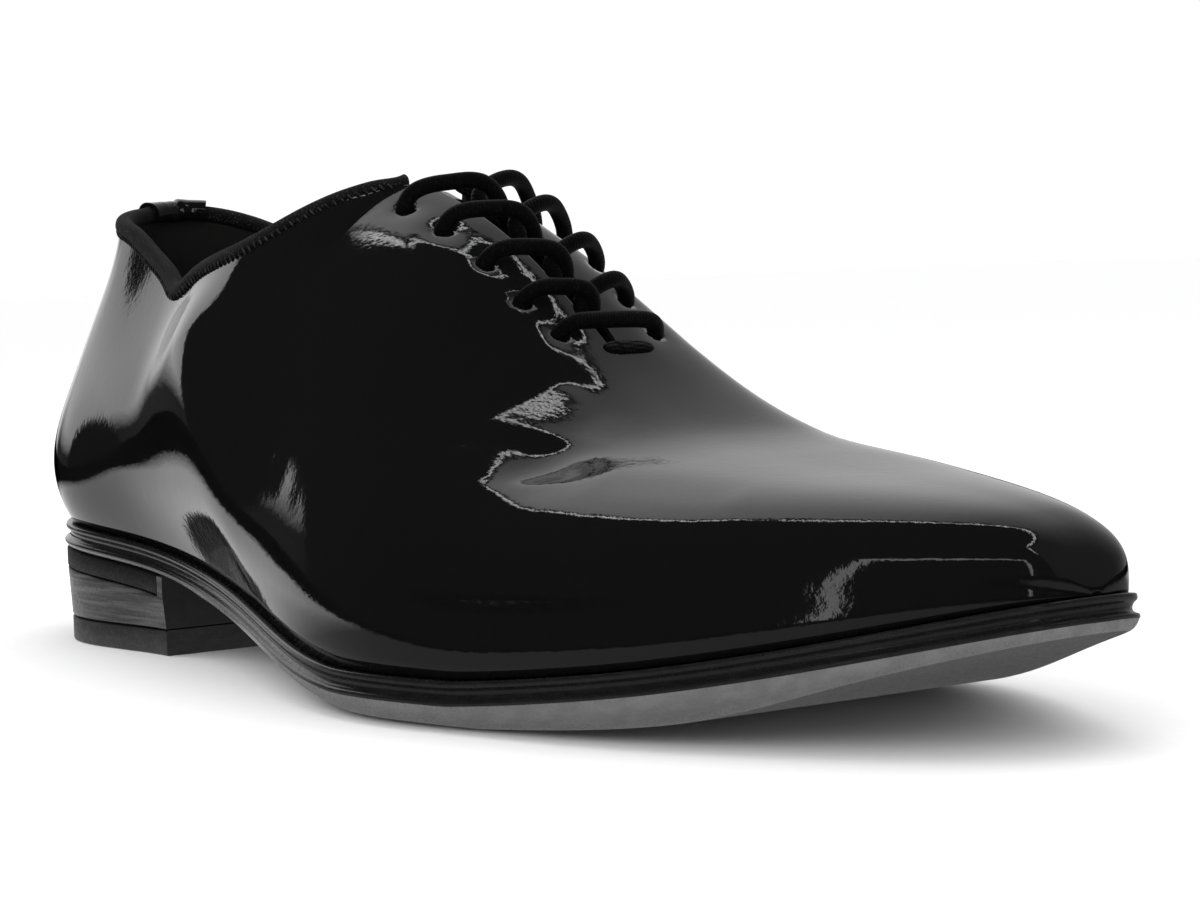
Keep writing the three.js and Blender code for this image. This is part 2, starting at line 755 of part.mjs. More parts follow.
// Stations of half the pull tab
function halfTabStations() {
  const back = collarFrame(0, -1).centre;
  const radius = Math.hypot(heelCentre * length - back.x, back.y - makeStation(0).ridgeY);
  return spread(0, (fanShare * (tabWidth / 2)) / (radius * (Math.PI / 2)), 3);
}

function makeBinding() {
  const profile = oval(bindingWidth, bindingHeight, 8);
  const route = collarRoute(upperStations.filter((station) => station < frontStation(0.5 * length)));
  return stackProfiles(route.map((frame) => placeProfile(profile, frame.centre, frame.out, frame.up)));
}

function makeTab() {
  const arc = (extra, turns) => turns.map((turn) => {
    const angle = THREE.MathUtils.degToRad(turn);
    const across = (bindingWidth / 2 + gap + extra) * Math.cos(angle);
    return [across, (bindingHeight / 2 + gap + extra) * Math.sin(angle)];
  });
  const turns = spread(-12, 192, 8);
  const profile = [...arc(tabThickness, turns), ...arc(0, [...turns].reverse())];
  const route = collarRoute(tabStations);
  return stackProfiles(route.map((frame) => placeProfile(profile, frame.centre, frame.out, frame.up)));
}

// Tongue, from under the vamp to just above the facings

function makeTongue() {
  const front = (throatAlong + 0.045) * length;
  const back = (facingTopAlong - 0.008) * length;
  const steps = 14;
  const across = 8;
  const rows = spread(0, 1, steps).map((share) => {
    const x = front + (back - front) * share;
    const half = Math.max(slitHalf(x), 0) + tongueOverlap;
    const depth = wall + gap + tongueDrop * THREE.MathUtils.smoothstep(share, 0.1, 0.7);
    return spread(-half, half, across).map((offset) => {
      const side = offset < 0 ? -1 : 1;
      const top = onForm(x, Math.abs(offset), side, -depth);
      return { outer: top.point, inner: top.point.clone().addScaledVector(top.normal, -tongueThickness) };
    });
  });
  const triangles = [];
  for (let i = 0; i < steps; i++) {
    const here = rows[i];
    const next = rows[i + 1];
    for (let j = 0; j < across; j++) {
      quad(triangles, here[j].outer, next[j].outer, next[j + 1].outer, here[j + 1].outer);
      quad(triangles, here[j + 1].inner, next[j + 1].inner, next[j].inner, here[j].inner);
    }
    quad(triangles, here[0].inner, next[0].inner, next[0].outer, here[0].outer);
    quad(triangles, here[across].outer, next[across].outer, next[across].inner, here[across].inner);
  }
  for (let j = 0; j < across; j++) {
    quad(triangles, rows[0][j].inner, rows[0][j].outer, rows[0][j + 1].outer, rows[0][j + 1].inner);
    const last = rows[steps];
    quad(triangles, last[j].outer, last[j].inner, last[j + 1].inner, last[j + 1].outer);
  }
  return solidFromTriangles(triangles);
}

// Sole, insole and heel

function levelLoop(loop, heightAt) {
  return loop.map(([x, y]) => new THREE.Vector3(x, y, heightAt(x)));
}

function makeOutsole() {
  const outline = soleOutline(4);
  const edge = [
    { inset: 0.6, down: 0 },
    { inset: 0, down: 0.1 },
    { inset: 0, down: 0.24 },
    { inset: lipDepth, down: 0.42 },
    { inset: lipDepth, down: 0.7 },
    { inset: -lowerLip, down: 0.82 },
    { inset: -lowerLip, down: 1 },
  ];
  const rings = edge.map(({ inset, down }) => {
    return levelLoop(insetLoop(outline, () => inset), (x) => soleTop(x) - down * edgeHeight);
  });
  const bevel = [
    { inset: 0.1, down: 0.3 },
    { inset: 0.4, down: 0.75 },
    { inset: 1, down: 1 },
  ];
  for (const { inset, down } of bevel) {
    const insetAt = ([x]) => Math.max(bevelInset * inset * treadShare(x), inset * 1.5);
    const loop = insetLoop(outline, insetAt);
    const level = (x) => soleTop(x) - edgeHeight - (soleDepth(x) - edgeHeight) * down;
    rings.push(levelLoop(loop, (x) => Math.max(level(x), 0)));
  }
  return stackRings(rings, 0);
}

function makeInsole() {
  const loop = insetLoop(soleOutline(3), () => margin + wall + 1.2);
  const bottom = levelLoop(loop, (x) => soleTop(x) + gap);
  const top = levelLoop(loop, (x) => soleTop(x) + gap + insoleThickness);
  return stackRings([top, bottom], 0);
}

// Stretch of the sole outline behind frontX, drawn in by an inset, from the outer side round the back
// to the inner side. Short steps at both ends leave room for the rand's front ends.
function heelArc(inset, frontX, endSteps, steps) {
  const outline = insetLoop(soleOutline(40), () => inset);
  const walk = (step) => {
    const points = [outline[0]];
    let i = 0;
    while (points[points.length - 1][0] < frontX) {
      i = (i + step + outline.length) % outline.length;
      points.push(outline[i]);
    }
    const [a, b] = points.slice(-2);
    const share = (frontX - a[0]) / (b[0] - a[0]);
    points[points.length - 1] = [frontX, a[1] + (b[1] - a[1]) * share];
    return points;
  };
  const route = [...walk(1).reverse(), ...walk(-1).slice(1)];
  const distances = [0];
  for (let i = 1; i < route.length; i++) {
    const step = Math.hypot(route[i][0] - route[i - 1][0], route[i][1] - route[i - 1][1]);
    distances.push(distances[i - 1] + step);
  }
  const total = distances[distances.length - 1];
  const from = endSteps[endSteps.length - 1];
  const places = [
    ...endSteps.slice(0, -1),
    ...spread(from, total - from, steps),
    ...endSteps.slice(0, -1).reverse().map((distance) => total - distance),
  ];
  return places.map((place) => {
    let i = 1;
    while (i < route.length - 1 && distances[i] < place) i++;
    const share = (place - distances[i - 1]) / (distances[i] - distances[i - 1]);
    return route[i].map((value, k) => route[i - 1][k] + (value - route[i - 1][k]) * share);
  });
}

const heelTop = (x) => soleTop(x) - soleDepth(x) - gap;
const arcSteps = 26;
const blockEnds = [0, (randSetback - gap) / 2, randSetback - gap];

// The block fills the breast's full width and is stepped in behind it for the rand
function makeHeelStack() {
  const arc = (inset) => heelArc(inset, heelLength, blockEnds, arcSteps);
  const full = arc(0);
  const seat = arc(randDepth + gap).map((point, i) => {
    const fromEnd = Math.min(i, full.length - 1 - i);
    return fromEnd < blockEnds.length - 1 ? full[i] : point;
  });
  const shoulder = (x) => heelTop(x) - randHeight - gap;
  const foot = topPieceHeight + gap;
  return stackRings([
    levelLoop(seat, heelTop),
    levelLoop(seat, shoulder),
    levelLoop(full, shoulder),
    levelLoop(arc(heelTaper * 0.6), (x) => (shoulder(x) + foot) / 2),
    levelLoop(arc(heelTaper), () => foot),
  ], 1);
}

function makeRand() {
  const frontX = heelLength - randSetback;
  const outer = heelArc(0, frontX, [0], arcSteps);
  const inner = heelArc(randDepth, frontX, [0], arcSteps);
  return stackProfiles(outer.map(([x, y], i) => {
    const [innerX, innerY] = inner[i];
    const corners = [[x, y, 0], [x, y, -randHeight], [innerX, innerY, -randHeight], [innerX, innerY, 0]];
    return corners.map(([cornerX, cornerY, down], k) => {
      const corner = new THREE.Vector3(cornerX, cornerY, heelTop(cornerX) + down);
      corner.flat = [k < 2 ? randDepth : 0, down];
      return corner;
    });
  }));
}

function makeTopPiece() {
  const groove = 0.5;
  const levels = [
    { inset: heelTaper + groove, z: topPieceHeight },
    { inset: heelTaper, z: topPieceHeight - groove },
    { inset: heelTaper, z: groove },
    { inset: heelTaper + groove, z: 0 },
  ];
  return stackRings(levels.map(({ inset, z }) => {
    return levelLoop(heelArc(inset, heelLength, [0], arcSteps), () => z);
  }), 1);
}

// Lacing: rows of two strands that cross over the tongue, and a straight bar in front

function makeStrand(places, steps) {
  const route = new THREE.CatmullRomCurve3(places.map(({ x, offset, side, lift }) => {
    return onForm(x, Math.abs(offset), offset < 0 ? -side : side, lift).point;
  }));
  const circle = new THREE.Shape().absarc(0, 0, laceDiameter / 2, 0, 2 * Math.PI);
  return new THREE.ExtrudeGeometry(circle, {
    steps,
    curveSegments: 4,
    bevelEnabled: false,
    extrudePath: route,
  });
}

const strandLift = laceDiameter / 2 + 2 * gap;

function makeLaceRow(row) {
  const x = eyeletAlong[row] * length;
  const pitch = eyeletAlong[row + 1] * length - x;
  const middle = strandLift + 0.25 * laceArch;
  const apart = 0.42 * laceDiameter;
  const strands = [-1, 1].map((side) => {
    const arch = side < 0 ? laceArch / 2 : laceArch;
    const eyelet = eyeletOffset(x, side);
    return toSolid(makeStrand([
      { x, offset: eyelet, side, lift: strandLift },
      { x: x + 0.04 * pitch, offset: 0.8 * eyelet, side, lift: strandLift + 0.75 * arch },
      { x: x + 0.12 * pitch, offset: 0.45 * eyelet, side, lift: strandLift + arch },
      { x: x + 0.34 * pitch, offset: 0, side, lift: middle - side * apart },
      { x: x + 0.5 * pitch, offset: -0.22 * eyelet, side, lift: strandLift - side * 0.2 * apart },
      { x: x + 0.6 * pitch, offset: -0.4 * eyelet, side, lift: strandLift },
    ], 12));
  });
  return toGeometry(strands[0].add(strands[1]));
}

function makeLaceBar() {
  const x = eyeletAlong[eyeletAlong.length - 1] * length;
  const outer = eyeletOffset(x, -1);
  const inner = eyeletOffset(x, 1);
  const rise = 0.35 * laceArch;
  return makeStrand([
    { x, offset: outer, side: -1, lift: strandLift },
    { x, offset: 0.5 * outer, side: -1, lift: strandLift + rise },
    { x, offset: 0, side: -1, lift: strandLift + rise },
    { x, offset: 0.5 * inner, side: 1, lift: strandLift + rise },
    { x, offset: inner, side: 1, lift: strandLift },
  ], 10);
}

// Short stitched bar that closes the end of the slit
function makeBarTack() {
  const x = throatAlong * length + barTack.width / 4;
  const profiles = spread(-1, 1, 8).map((share) => {
    const offset = (share * barTack.length) / 2;
    const taper = Math.sqrt(1 - 0.9 * share ** 4);
    const place = onForm(x, Math.abs(offset), share < 0 ? -1 : 1, gap + barTack.height / 2);
    const across = onForm(x + 1, Math.abs(offset), share < 0 ? -1 : 1, gap + barTack.height / 2);
    const forward = across.point.sub(place.point).normalize();
    const profile = oval(barTack.width * taper, barTack.height * taper, 8);
    return placeProfile(profile, place.point, forward, place.normal);
  });
  return stackProfiles(profiles);
}

// The shoe

const shoe = new THREE.Group();

function addPiece(name, geometry, material) {
  const mesh = new THREE.Mesh(geometry, material);
  mesh.name = name;
  shoe.add(mesh);
}

addPiece('outsole', makeOutsole(), colours.sole);
addPiece('heel_rand', makeRand(), colours.rand);
addPiece('heel_stack', makeHeelStack(), colours.stack);
addPiece('heel_top_piece', makeTopPiece(), colours.rubber);
addPiece('insole', makeInsole(), colours.lining);
addPiece('upper', makeUpper(), colours.patent);
addPiece('collar_binding', makeBinding(), colours.textile);
addPiece('heel_tab', makeTab(), colours.patent);
addPiece('tongue', makeTongue(), colours.patent);
for (let row = 0; row < eyeletAlong.length - 1; row++) {
  addPiece(`lace_row_${row + 1}`, makeLaceRow(row), colours.cord);
}
addPiece('lace_bar', makeLaceBar(), colours.cord);
addPiece('throat_bar_tack', makeBarTack(), colours.textile);

const box = new THREE.Box3().setFromObject(shoe);
const centre = box.getCenter(new THREE.Vector3());
shoe.position.set(-centre.x, -centre.y, -box.min.z);
shoe.updateMatrixWorld(true);

export default shoe;
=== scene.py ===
import json
import math

import bmesh
import bpy
import numpy as np
from mathutils import Matrix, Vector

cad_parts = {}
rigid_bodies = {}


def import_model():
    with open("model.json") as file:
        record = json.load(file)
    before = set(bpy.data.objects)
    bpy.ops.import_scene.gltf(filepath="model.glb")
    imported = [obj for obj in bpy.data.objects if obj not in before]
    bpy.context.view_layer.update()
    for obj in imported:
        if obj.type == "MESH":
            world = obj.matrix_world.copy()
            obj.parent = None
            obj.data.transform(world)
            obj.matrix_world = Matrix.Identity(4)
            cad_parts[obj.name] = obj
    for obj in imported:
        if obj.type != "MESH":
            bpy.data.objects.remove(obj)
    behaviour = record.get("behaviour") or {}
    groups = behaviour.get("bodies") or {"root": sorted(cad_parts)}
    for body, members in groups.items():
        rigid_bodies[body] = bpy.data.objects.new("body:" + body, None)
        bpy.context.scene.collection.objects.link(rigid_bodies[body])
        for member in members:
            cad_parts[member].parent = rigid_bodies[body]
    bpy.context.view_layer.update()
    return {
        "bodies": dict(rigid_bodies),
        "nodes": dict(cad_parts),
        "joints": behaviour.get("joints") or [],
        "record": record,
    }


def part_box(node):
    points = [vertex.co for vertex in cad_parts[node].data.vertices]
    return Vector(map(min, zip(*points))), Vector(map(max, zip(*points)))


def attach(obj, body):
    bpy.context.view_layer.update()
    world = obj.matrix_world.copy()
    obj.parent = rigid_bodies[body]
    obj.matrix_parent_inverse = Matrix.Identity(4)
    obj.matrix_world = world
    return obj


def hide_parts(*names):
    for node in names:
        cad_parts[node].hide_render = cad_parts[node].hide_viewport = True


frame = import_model()
print("frame:", len(frame["nodes"]), "solids")

# Shoe sizes in millimetres, as the solids have them: x from the heel back to the toe tip, -y the outer
# side, z up from the floor. Shares are of the length, the ball width or the height they belong to.
shoe = {
    "length": 305,
    "ballWidth": 108,
    "instepHeight": 92,
    "backHeight": 71,
    "seatHeight": 26.8,
    "toeSpring": 17,
    "gap": 0.3,
    "soleThickness": 9.4,
    "edgeHeight": 4.5,
    "waistTread": 0.9,
    "lowerLip": 0.4,
    "bevelInset": 8,
    "heelLength": 73,
    "wall": 1.8,
    "margin": 1.5,
    "throatAlong": 0.6,
    "facingTopAlong": 0.42,
    "facingGap": 12,
    "heelCentre": 0.105,
    "fanShare": 0.1,
    "ankleRounding": 6,
}
length = shoe["length"]
gap = shoe["gap"]
wall = shoe["wall"]
fanShare = shoe["fanShare"]
heelX = shoe["heelCentre"] * length

# along, outer half width, inner half width
outlineRows = np.array([
    [0, 0.06, -0.06], [0.028, 0.258, 0.125], [0.105, 0.42, 0.265], [0.21, 0.405, 0.24],
    [0.35, 0.43, 0.2], [0.48, 0.518, 0.27], [0.61, 0.562, 0.41], [0.7, 0.5, 0.49],
    [0.8, 0.408, 0.472], [0.89, 0.263, 0.37], [0.96, 0.115, 0.27], [0.992, 0, 0.21], [1, -0.11, 0.11],
])
# along, heel lift, toe spring
profileRows = np.array([
    [0, 1.06, 0], [0.1, 1, 0], [0.2, 0.86, 0], [0.3, 0.63, 0], [0.4, 0.38, 0], [0.5, 0.13, 0],
    [0.59, -0.01, 0], [0.67, 0, -0.01], [0.74, 0, 0.1], [0.82, 0, 0.29], [0.91, 0, 0.61], [1, 0, 1],
])
# along, depth of the tread under the edge band
treadRows = np.array([
    [0, 0], [0.25, 0], [0.35, 0.45], [0.42, 0.9], [0.5, 1.12], [0.58, 1.02], [0.67, 1], [0.74, 1.18],
    [0.82, 1.2], [0.91, 0.55], [1, 0.2],
])
# along, turn, height, ridge, four shoulders out, three shoulders up, swell of the outer side
sectionRows = np.array([
    [0.105, 180, 1.043, -0.06, 1.23, 1.06, 0.58, 0.55, 0.12, 0.3, 0.61, 0],
    [0.105, 135, 1.043, -0.06, 1.27, 1.03, 0.58, 0.55, 0.12, 0.3, 0.61, 0.08],
    [0.105, 90, 1.043, -0.06, 1.18, 0.99, 0.6, 0.56, 0.12, 0.31, 0.62, -0.06],
    [0.2, 90, 1.022, -0.06, 1.13, 1.02, 0.65, 0.53, 0.12, 0.33, 0.64, 0.04],
    [0.31, 90, 1, -0.045, 1.08, 1.08, 0.76, 0.46, 0.14, 0.38, 0.72, 0.18],
    [0.42, 90, 0.935, -0.02, 1.08, 1.07, 0.79, 0.34, 0.16, 0.42, 0.8, 0.03],
    [0.52, 90, 0.813, 0.005, 1.07, 1.06, 0.8, 0.32, 0.18, 0.46, 0.86, -0.04],
    [0.62, 90, 0.554, 0.03, 1.05, 1.05, 0.79, 0.32, 0.2, 0.52, 0.92, 0],
    [0.74, 90, 0.39, 0.055, 1.04, 1.05, 0.8, 0.34, 0.22, 0.58, 0.96, 0],
    [0.85, 90, 0.301, 0.075, 1.05, 1.02, 0.77, 0.36, 0.24, 0.615, 0.94, 0],
    [0.93, 90, 0.219, 0.09, 1.05, 1, 0.76, 0.38, 0.25, 0.63, 0.895, 0],
    [0.98, 90, 0.126, 0.105, 1.05, 0.98, 0.76, 0.4, 0.27, 0.655, 0.87, 0],
    [1, 90, 0, 0.11, 1.03, 1.05, 0.88, 0.42, 0.3, 0.75, 1, 0],
])
# Collar height: along, outer side, inner side
collarFall = np.array([
    [0, 0.985, 0.985], [0.05, 0.975, 0.98], [0.09, 0.95, 0.918], [0.125, 0.925, 0.866],
    [0.16, 0.876, 0.825], [0.2, 0.826, 0.785], [0.24, 0.762, 0.745], [0.3, 0.69, 0.67],
])
collarRise = np.array([
    [0.18, 0.66, 0.66], [0.22, 0.735, 0.757], [0.25, 0.823, 0.835], [0.313, 0.938, 0.95],
    [0.36, 1.028, 1.03], [0.38, 1.085, 1.08], [0.4, 1.148, 1.143], [0.42, 1.205, 1.2], [0.5, 1.3, 1.3],
])


def openCurve(knots, rows):
    # Natural cubic spline: on each span the straight line plus cubic bends that match slopes at the knots
    knots, rows = np.asarray(knots, float), np.asarray(rows, float)
    count, spans = len(knots), np.diff(knots)
    matrix, right = np.eye(count), np.zeros_like(rows)
    for i in range(1, count - 1):
        matrix[i, i - 1:i + 2] = spans[i - 1], 2 * (spans[i - 1] + spans[i]), spans[i]
        right[i] = 6 * ((rows[i + 1] - rows[i]) / spans[i] - (rows[i] - rows[i - 1]) / spans[i - 1])
    bends = np.linalg.solve(matrix, right)

    def at(place):
        place = np.clip(np.asarray(place, float), knots[0], knots[-1])
        i = np.clip(np.searchsorted(knots, place, side="left") - 1, 0, count - 2)
        share = ((place - knots[i]) / spans[i])[..., None]
        rest = 1 - share
        bend = (rest ** 3 - rest) * bends[i] + (share ** 3 - share) * bends[i + 1]
        return rest * rows[i] + share * rows[i + 1] + bend * spans[i][..., None] ** 2 / 6

    return at


def closedCurve(points, steps):
    # Closed cubic spline through points, each span in equal steps
    ahead = np.roll(points, -1, 0)
    count, span = len(points), np.hypot(*(ahead - points).T)
    before, i = np.roll(span, 1), np.arange(len(points))
    matrix = np.zeros((count, count))
    matrix[i, (i - 1) % count] += before
    matrix[i, i] += 2 * (before + span)
    matrix[i, (i + 1) % count] += span
    slopeChange = (ahead - points) / span[:, None] - (points - np.roll(points, 1, 0)) / before[:, None]
    bends = np.linalg.solve(matrix, 6 * slopeChange)
    share = (np.arange(steps) / steps)[None, :, None]
    rest = 1 - share
    bend = (rest ** 3 - rest) * bends[:, None] + (share ** 3 - share) * np.roll(bends, -1, 0)[:, None]
    loop = rest * points[:, None] + share * ahead[:, None] + bend * (span ** 2)[:, None, None] / 6
    return loop.reshape(-1, 2)


def insetLoop(loop, inset):
    # Each point moves sideways from the line between its neighbours
    along = np.roll(loop, -1, 0) - np.roll(loop, 1, 0)
    side = np.column_stack([-along[:, 1], along[:, 0]]) / np.hypot(*along.T)[:, None]
    return loop + side * np.broadcast_to(inset, len(loop))[:, None]


def soleOutline(steps):
    near = np.column_stack([outlineRows[:, 0] * length, -outlineRows[:, 1] * shoe["ballWidth"]])
    far = np.column_stack([outlineRows[:, 0] * length, outlineRows[:, 2] * shoe["ballWidth"]])
    return closedCurve(np.vstack([near, far[1:-1][::-1]]), steps)


profileCurve = openCurve(profileRows[:, 0] * length, profileRows[:, 1:])
treadCurve = openCurve(treadRows[:, 0] * length, treadRows[:, 1:])
fallCurve = openCurve(collarFall[:, 0] * length, collarFall[:, 1:])
riseCurve = openCurve(collarRise[:, 0] * length, collarRise[:, 1:])


def soleTop(x):
    shares = profileCurve(x)
    lift = np.maximum(shares[..., 0] * (shoe["seatHeight"] - shoe["soleThickness"]), 0)
    return shoe["soleThickness"] + lift + np.maximum(shares[..., 1] * shoe["toeSpring"], 0)


def treadShare(x):
    return np.maximum(treadCurve(x)[..., 0], 0)


def soleDepth(x):
    full = shoe["soleThickness"] - shoe["edgeHeight"]
    return shoe["edgeHeight"] + shoe["waistTread"] + (full - shoe["waistTread"]) * treadShare(x)


feather = insetLoop(soleOutline(30), shoe["margin"])
toeX, toeY = feather[feather[:, 0].argmax()]


def frontStation(x):
    share = np.clip((np.asarray(x, float) - heelX) / (toeX - heelX), 0, 1)
    return fanShare + (1 - fanShare) * np.arcsin(share) / (math.pi / 2)


sectionStations = np.where(
    sectionRows[:, 1] > 90,
    fanShare * (180 - sectionRows[:, 1]) / 90,
    frontStation(np.minimum(sectionRows[:, 0] * length, toeX)),
)
sectionCurve = openCurve(sectionStations, sectionRows[:, 2:])


def reachToFeather(x, y, direction):
    # Farthest crossing of rays with the feather line
    a, b = feather, np.roll(feather, -1, 0)

    def sideOf(p):
        return (p[:, 0] - x[:, None]) * direction[:, 1:] - (p[:, 1] - y[:, None]) * direction[:, :1]

    def alongOf(p):
        return (p[:, 0] - x[:, None]) * direction[:, :1] + (p[:, 1] - y[:, None]) * direction[:, 1:]

    sideA, sideB = sideOf(a), sideOf(b)
    crosses = (sideA * sideB <= 0) & (sideA != sideB)
    share = np.where(crosses, sideA / np.where(crosses, sideA - sideB, 1), 0)
    reach = alongOf(a) * (1 - share) + alongOf(b) * share
    return np.where(crosses, np.maximum(reach, 0), 0).max(1)


def sectionControls(stations):
    # Eleven control points of each section: foot, four shoulders, ridge, four shoulders, foot
    share = np.maximum(stations - fanShare, 0) / (1 - fanShare)
    x = heelX + (toeX - heelX) * np.sin(math.pi / 2 * share)
    turn = math.pi - math.pi / 2 * np.minimum(stations / fanShare, 1)
    row = sectionCurve(stations)
    full = row[:, 0] * shoe["instepHeight"]
    ridgeY = np.where(stations < 1, row[:, 1] * shoe["ballWidth"], toeY)
    outs = np.column_stack([np.ones(len(x)), row[:, 2:6]])
    ups = np.column_stack([np.zeros(len(x)), row[:, 6:9], np.ones(len(x))])
    swell = row[:, 9:] * np.array([0, 0, 1, 0.5, 0])
    controls = np.zeros((len(x), 11, 3))
    for side in (-1, 1):
        direction = np.column_stack([np.cos(turn), side * np.sin(turn)])
        reach = np.where(stations < 1, reachToFeather(x, ridgeY, direction), 0)
        foot = soleTop(x + reach * direction[:, 0]) + gap
        out = (outs + (swell if side < 0 else 0)) * reach[:, None]
        places = np.stack([
            x[:, None] + out * direction[:, :1],
            ridgeY[:, None] + out * direction[:, 1:],
            foot[:, None] + full[:, None] * ups,
        ], -1)
        if side < 0:
            controls[:, :5] = places
        else:
            controls[:, 6:] = places[:, ::-1]
    controls[:, 5] = np.column_stack([x, ridgeY, soleTop(x) + gap + full])
    return controls


def splineWeights(t):
    # Clamped cubic B-spline weights of eleven control points, by the Cox and de Boor recursion
    pieces = 8
    place = np.clip(t, 0, 1 - 1e-12) * pieces
    knots = np.clip(np.arange(15) - 3, 0, pieces).astype(float)
    weights = [((place >= knots[i]) & (place < knots[i + 1])).astype(float) for i in range(14)]
    for degree in (1, 2, 3):
        raised = []
        for i in range(14 - degree):
            left, right = knots[i + degree] - knots[i], knots[i + degree + 1] - knots[i + 1]
            value = np.zeros_like(place)
            if left > 0:
                value = value + weights[i] * (place - knots[i]) / left
            if right > 0:
                value = value + weights[i + 1] * (knots[i + degree + 1] - place) / right
            raised.append(value)
        weights = raised
    return np.stack(weights, -1)


smallStep = 1e-4


def makeSections(stations):
    stations = np.asarray(stations, float)
    low, high = np.maximum(stations - smallStep, 0), np.minimum(stations + smallStep, 1)
    here = sectionControls(stations)
    along = (sectionControls(high) - sectionControls(low)) / (high - low)[:, None, None]
    return {"stations": stations, "here": here, "along": along, "ridgeY": here[:, 5, 1]}


def onSections(sections, t):
    # Point, slope along the shoe and slope across it; t is 0 at the outer foot and 1 at the inner foot
    low, high = np.maximum(t - smallStep, 0), np.minimum(t + smallStep, 1)
    weights = splineWeights(t)
    bend = (splineWeights(high) - splineWeights(low)) / (high - low)[..., None]
    point = np.einsum("nmk,nkd->nmd", weights, sections["here"])
    along = np.einsum("nmk,nkd->nmd", weights, sections["along"])
    across = np.einsum("nmk,nkd->nmd", bend, sections["here"])
    return point, along, across


def unit(vectors):
    return vectors / np.maximum(np.linalg.norm(vectors, axis=-1, keepdims=True), 1e-12)


def softStep(value, low, high):
    share = np.clip((value - low) / (high - low), 0, 1)
    return share * share * (3 - 2 * share)


def outward(sections, along, across):
    normal = np.cross(along, across)
    flat = (sections["stations"] >= 1)[:, None] | (np.linalg.norm(normal, axis=-1) < 1e-9)
    return np.where(flat[..., None], np.array([1.0, 0, 0]), unit(normal))


def sideT(half, side):
    return np.where(np.asarray(side) < 0, half, 1 - half)


def slitHalf(x):
    span = (shoe["throatAlong"] - shoe["facingTopAlong"]) * length
    share = (shoe["throatAlong"] * length - x) / span
    opened = shoe["facingGap"] / 2 * np.clip(share, 0, 1.15) ** 0.85
    return np.where(share < 0, share * shoe["facingGap"], opened)


def aboveCollar(point, side):
    column = 0 if side < 0 else 1
    fall = fallCurve(point[..., 0])[..., column] * shoe["backHeight"]
    rise = riseCurve(point[..., 0])[..., column] * shoe["backHeight"]
    reach = shoe["ankleRounding"]
    line = np.maximum(fall, rise) + np.maximum(reach - abs(fall - rise), 0) ** 2 / (4 * reach)
    return point[..., 2] - soleTop(point[..., 0]) - line


def collarSlopes(point, along, across, side):
    value = aboveCollar(point, side)
    slopeAlong = (aboveCollar(point + along * smallStep, side) - value) / smallStep
    slopeAcross = (aboveCollar(point + across * smallStep, side) - value) / smallStep
    return value, slopeAlong, slopeAcross


def pastCollar(sections, half, side):
    # Height above the collar line, divided by its slope on the surface
    point, along, across = onSections(sections, sideT(half, side))
    value, slopeAlong, slopeAcross = collarSlopes(point, along, across, side)
    aa, ac, cc = (along * along).sum(-1), (along * across).sum(-1), (across * across).sum(-1)
    square = cc * slopeAlong ** 2 - 2 * ac * slopeAlong * slopeAcross + aa * slopeAcross ** 2
    return value / np.sqrt(square / np.maximum(aa * cc - ac * ac, 1e-9) + 1e-12)


def pastFacing(sections, half, side):
    point = onSections(sections, sideT(half, side))[0]
    measure = slitHalf(point[..., 0]) - abs(point[..., 1] - sections["ridgeY"][:, None])
    behind = point[..., 0] < (shoe["facingTopAlong"] - 0.08) * length
    return np.where(behind, -shoe["facingGap"], measure)


def firstCrossing(measure, count):
    # First place from the foot up where a measure turns positive, closed in on by halving
    halves = np.linspace(0.05, 0.5, 121)
    values = measure(np.broadcast_to(halves, (count, 121)))
    turned = (values[:, :-1] < 0) & (values[:, 1:] >= 0)
    first = turned.argmax(1)
    low, high = halves[first], halves[first + 1]
    for _ in range(24):
        middle = (low + high) / 2
        under = measure(middle[:, None])[:, 0] < 0
        low, high = np.where(under, middle, low), np.where(under, high, middle)
    return np.where(turned.any(1), (low + high) / 2, np.nan)


def onForm(x, fromRidge, side, lift):
    # Place on the form at a distance from the ridge, moved out along the normal
    x, fromRidge, side, lift = np.broadcast_arrays(*[np.asarray(v, float) for v in (x, fromRidge, side, lift)])
    sections = makeSections(frontStation(x))
    low, high = np.full(x.shape, 0.2), np.full(x.shape, 0.5)
    for _ in range(36):
        middle = (low + high) / 2
        point = onSections(sections, sideT(middle, side)[:, None])[0][:, 0]
        outside = abs(point[:, 1] - sections["ridgeY"]) > fromRidge
        low, high = np.where(outside, middle, low), np.where(outside, high, middle)
    point, along, across = onSections(sections, sideT((low + high) / 2, side)[:, None])
    normal = outward(sections, along, across)[:, 0]
    return point[:, 0] + normal * lift[:, None], normal


# The solids are centred on their own box; this is where the shoe's own zero lies in it
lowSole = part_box("outsole")[0]
lipLoop = insetLoop(soleOutline(4), -shoe["lowerLip"])
shift = np.array([lipLoop[:, 0].min() - lowSole.x * 1000, lipLoop[:, 1].min() - lowSole.y * 1000, 0])
print("shoe zero at", shift.round(3))


# Meshes


def gridFaces(rows, columns, offset=0):
    index = np.arange(rows * columns).reshape(rows, columns) + offset
    return np.stack([index[:-1, :-1], index[1:, :-1], index[1:, 1:], index[:-1, 1:]], -1).reshape(-1, 4)


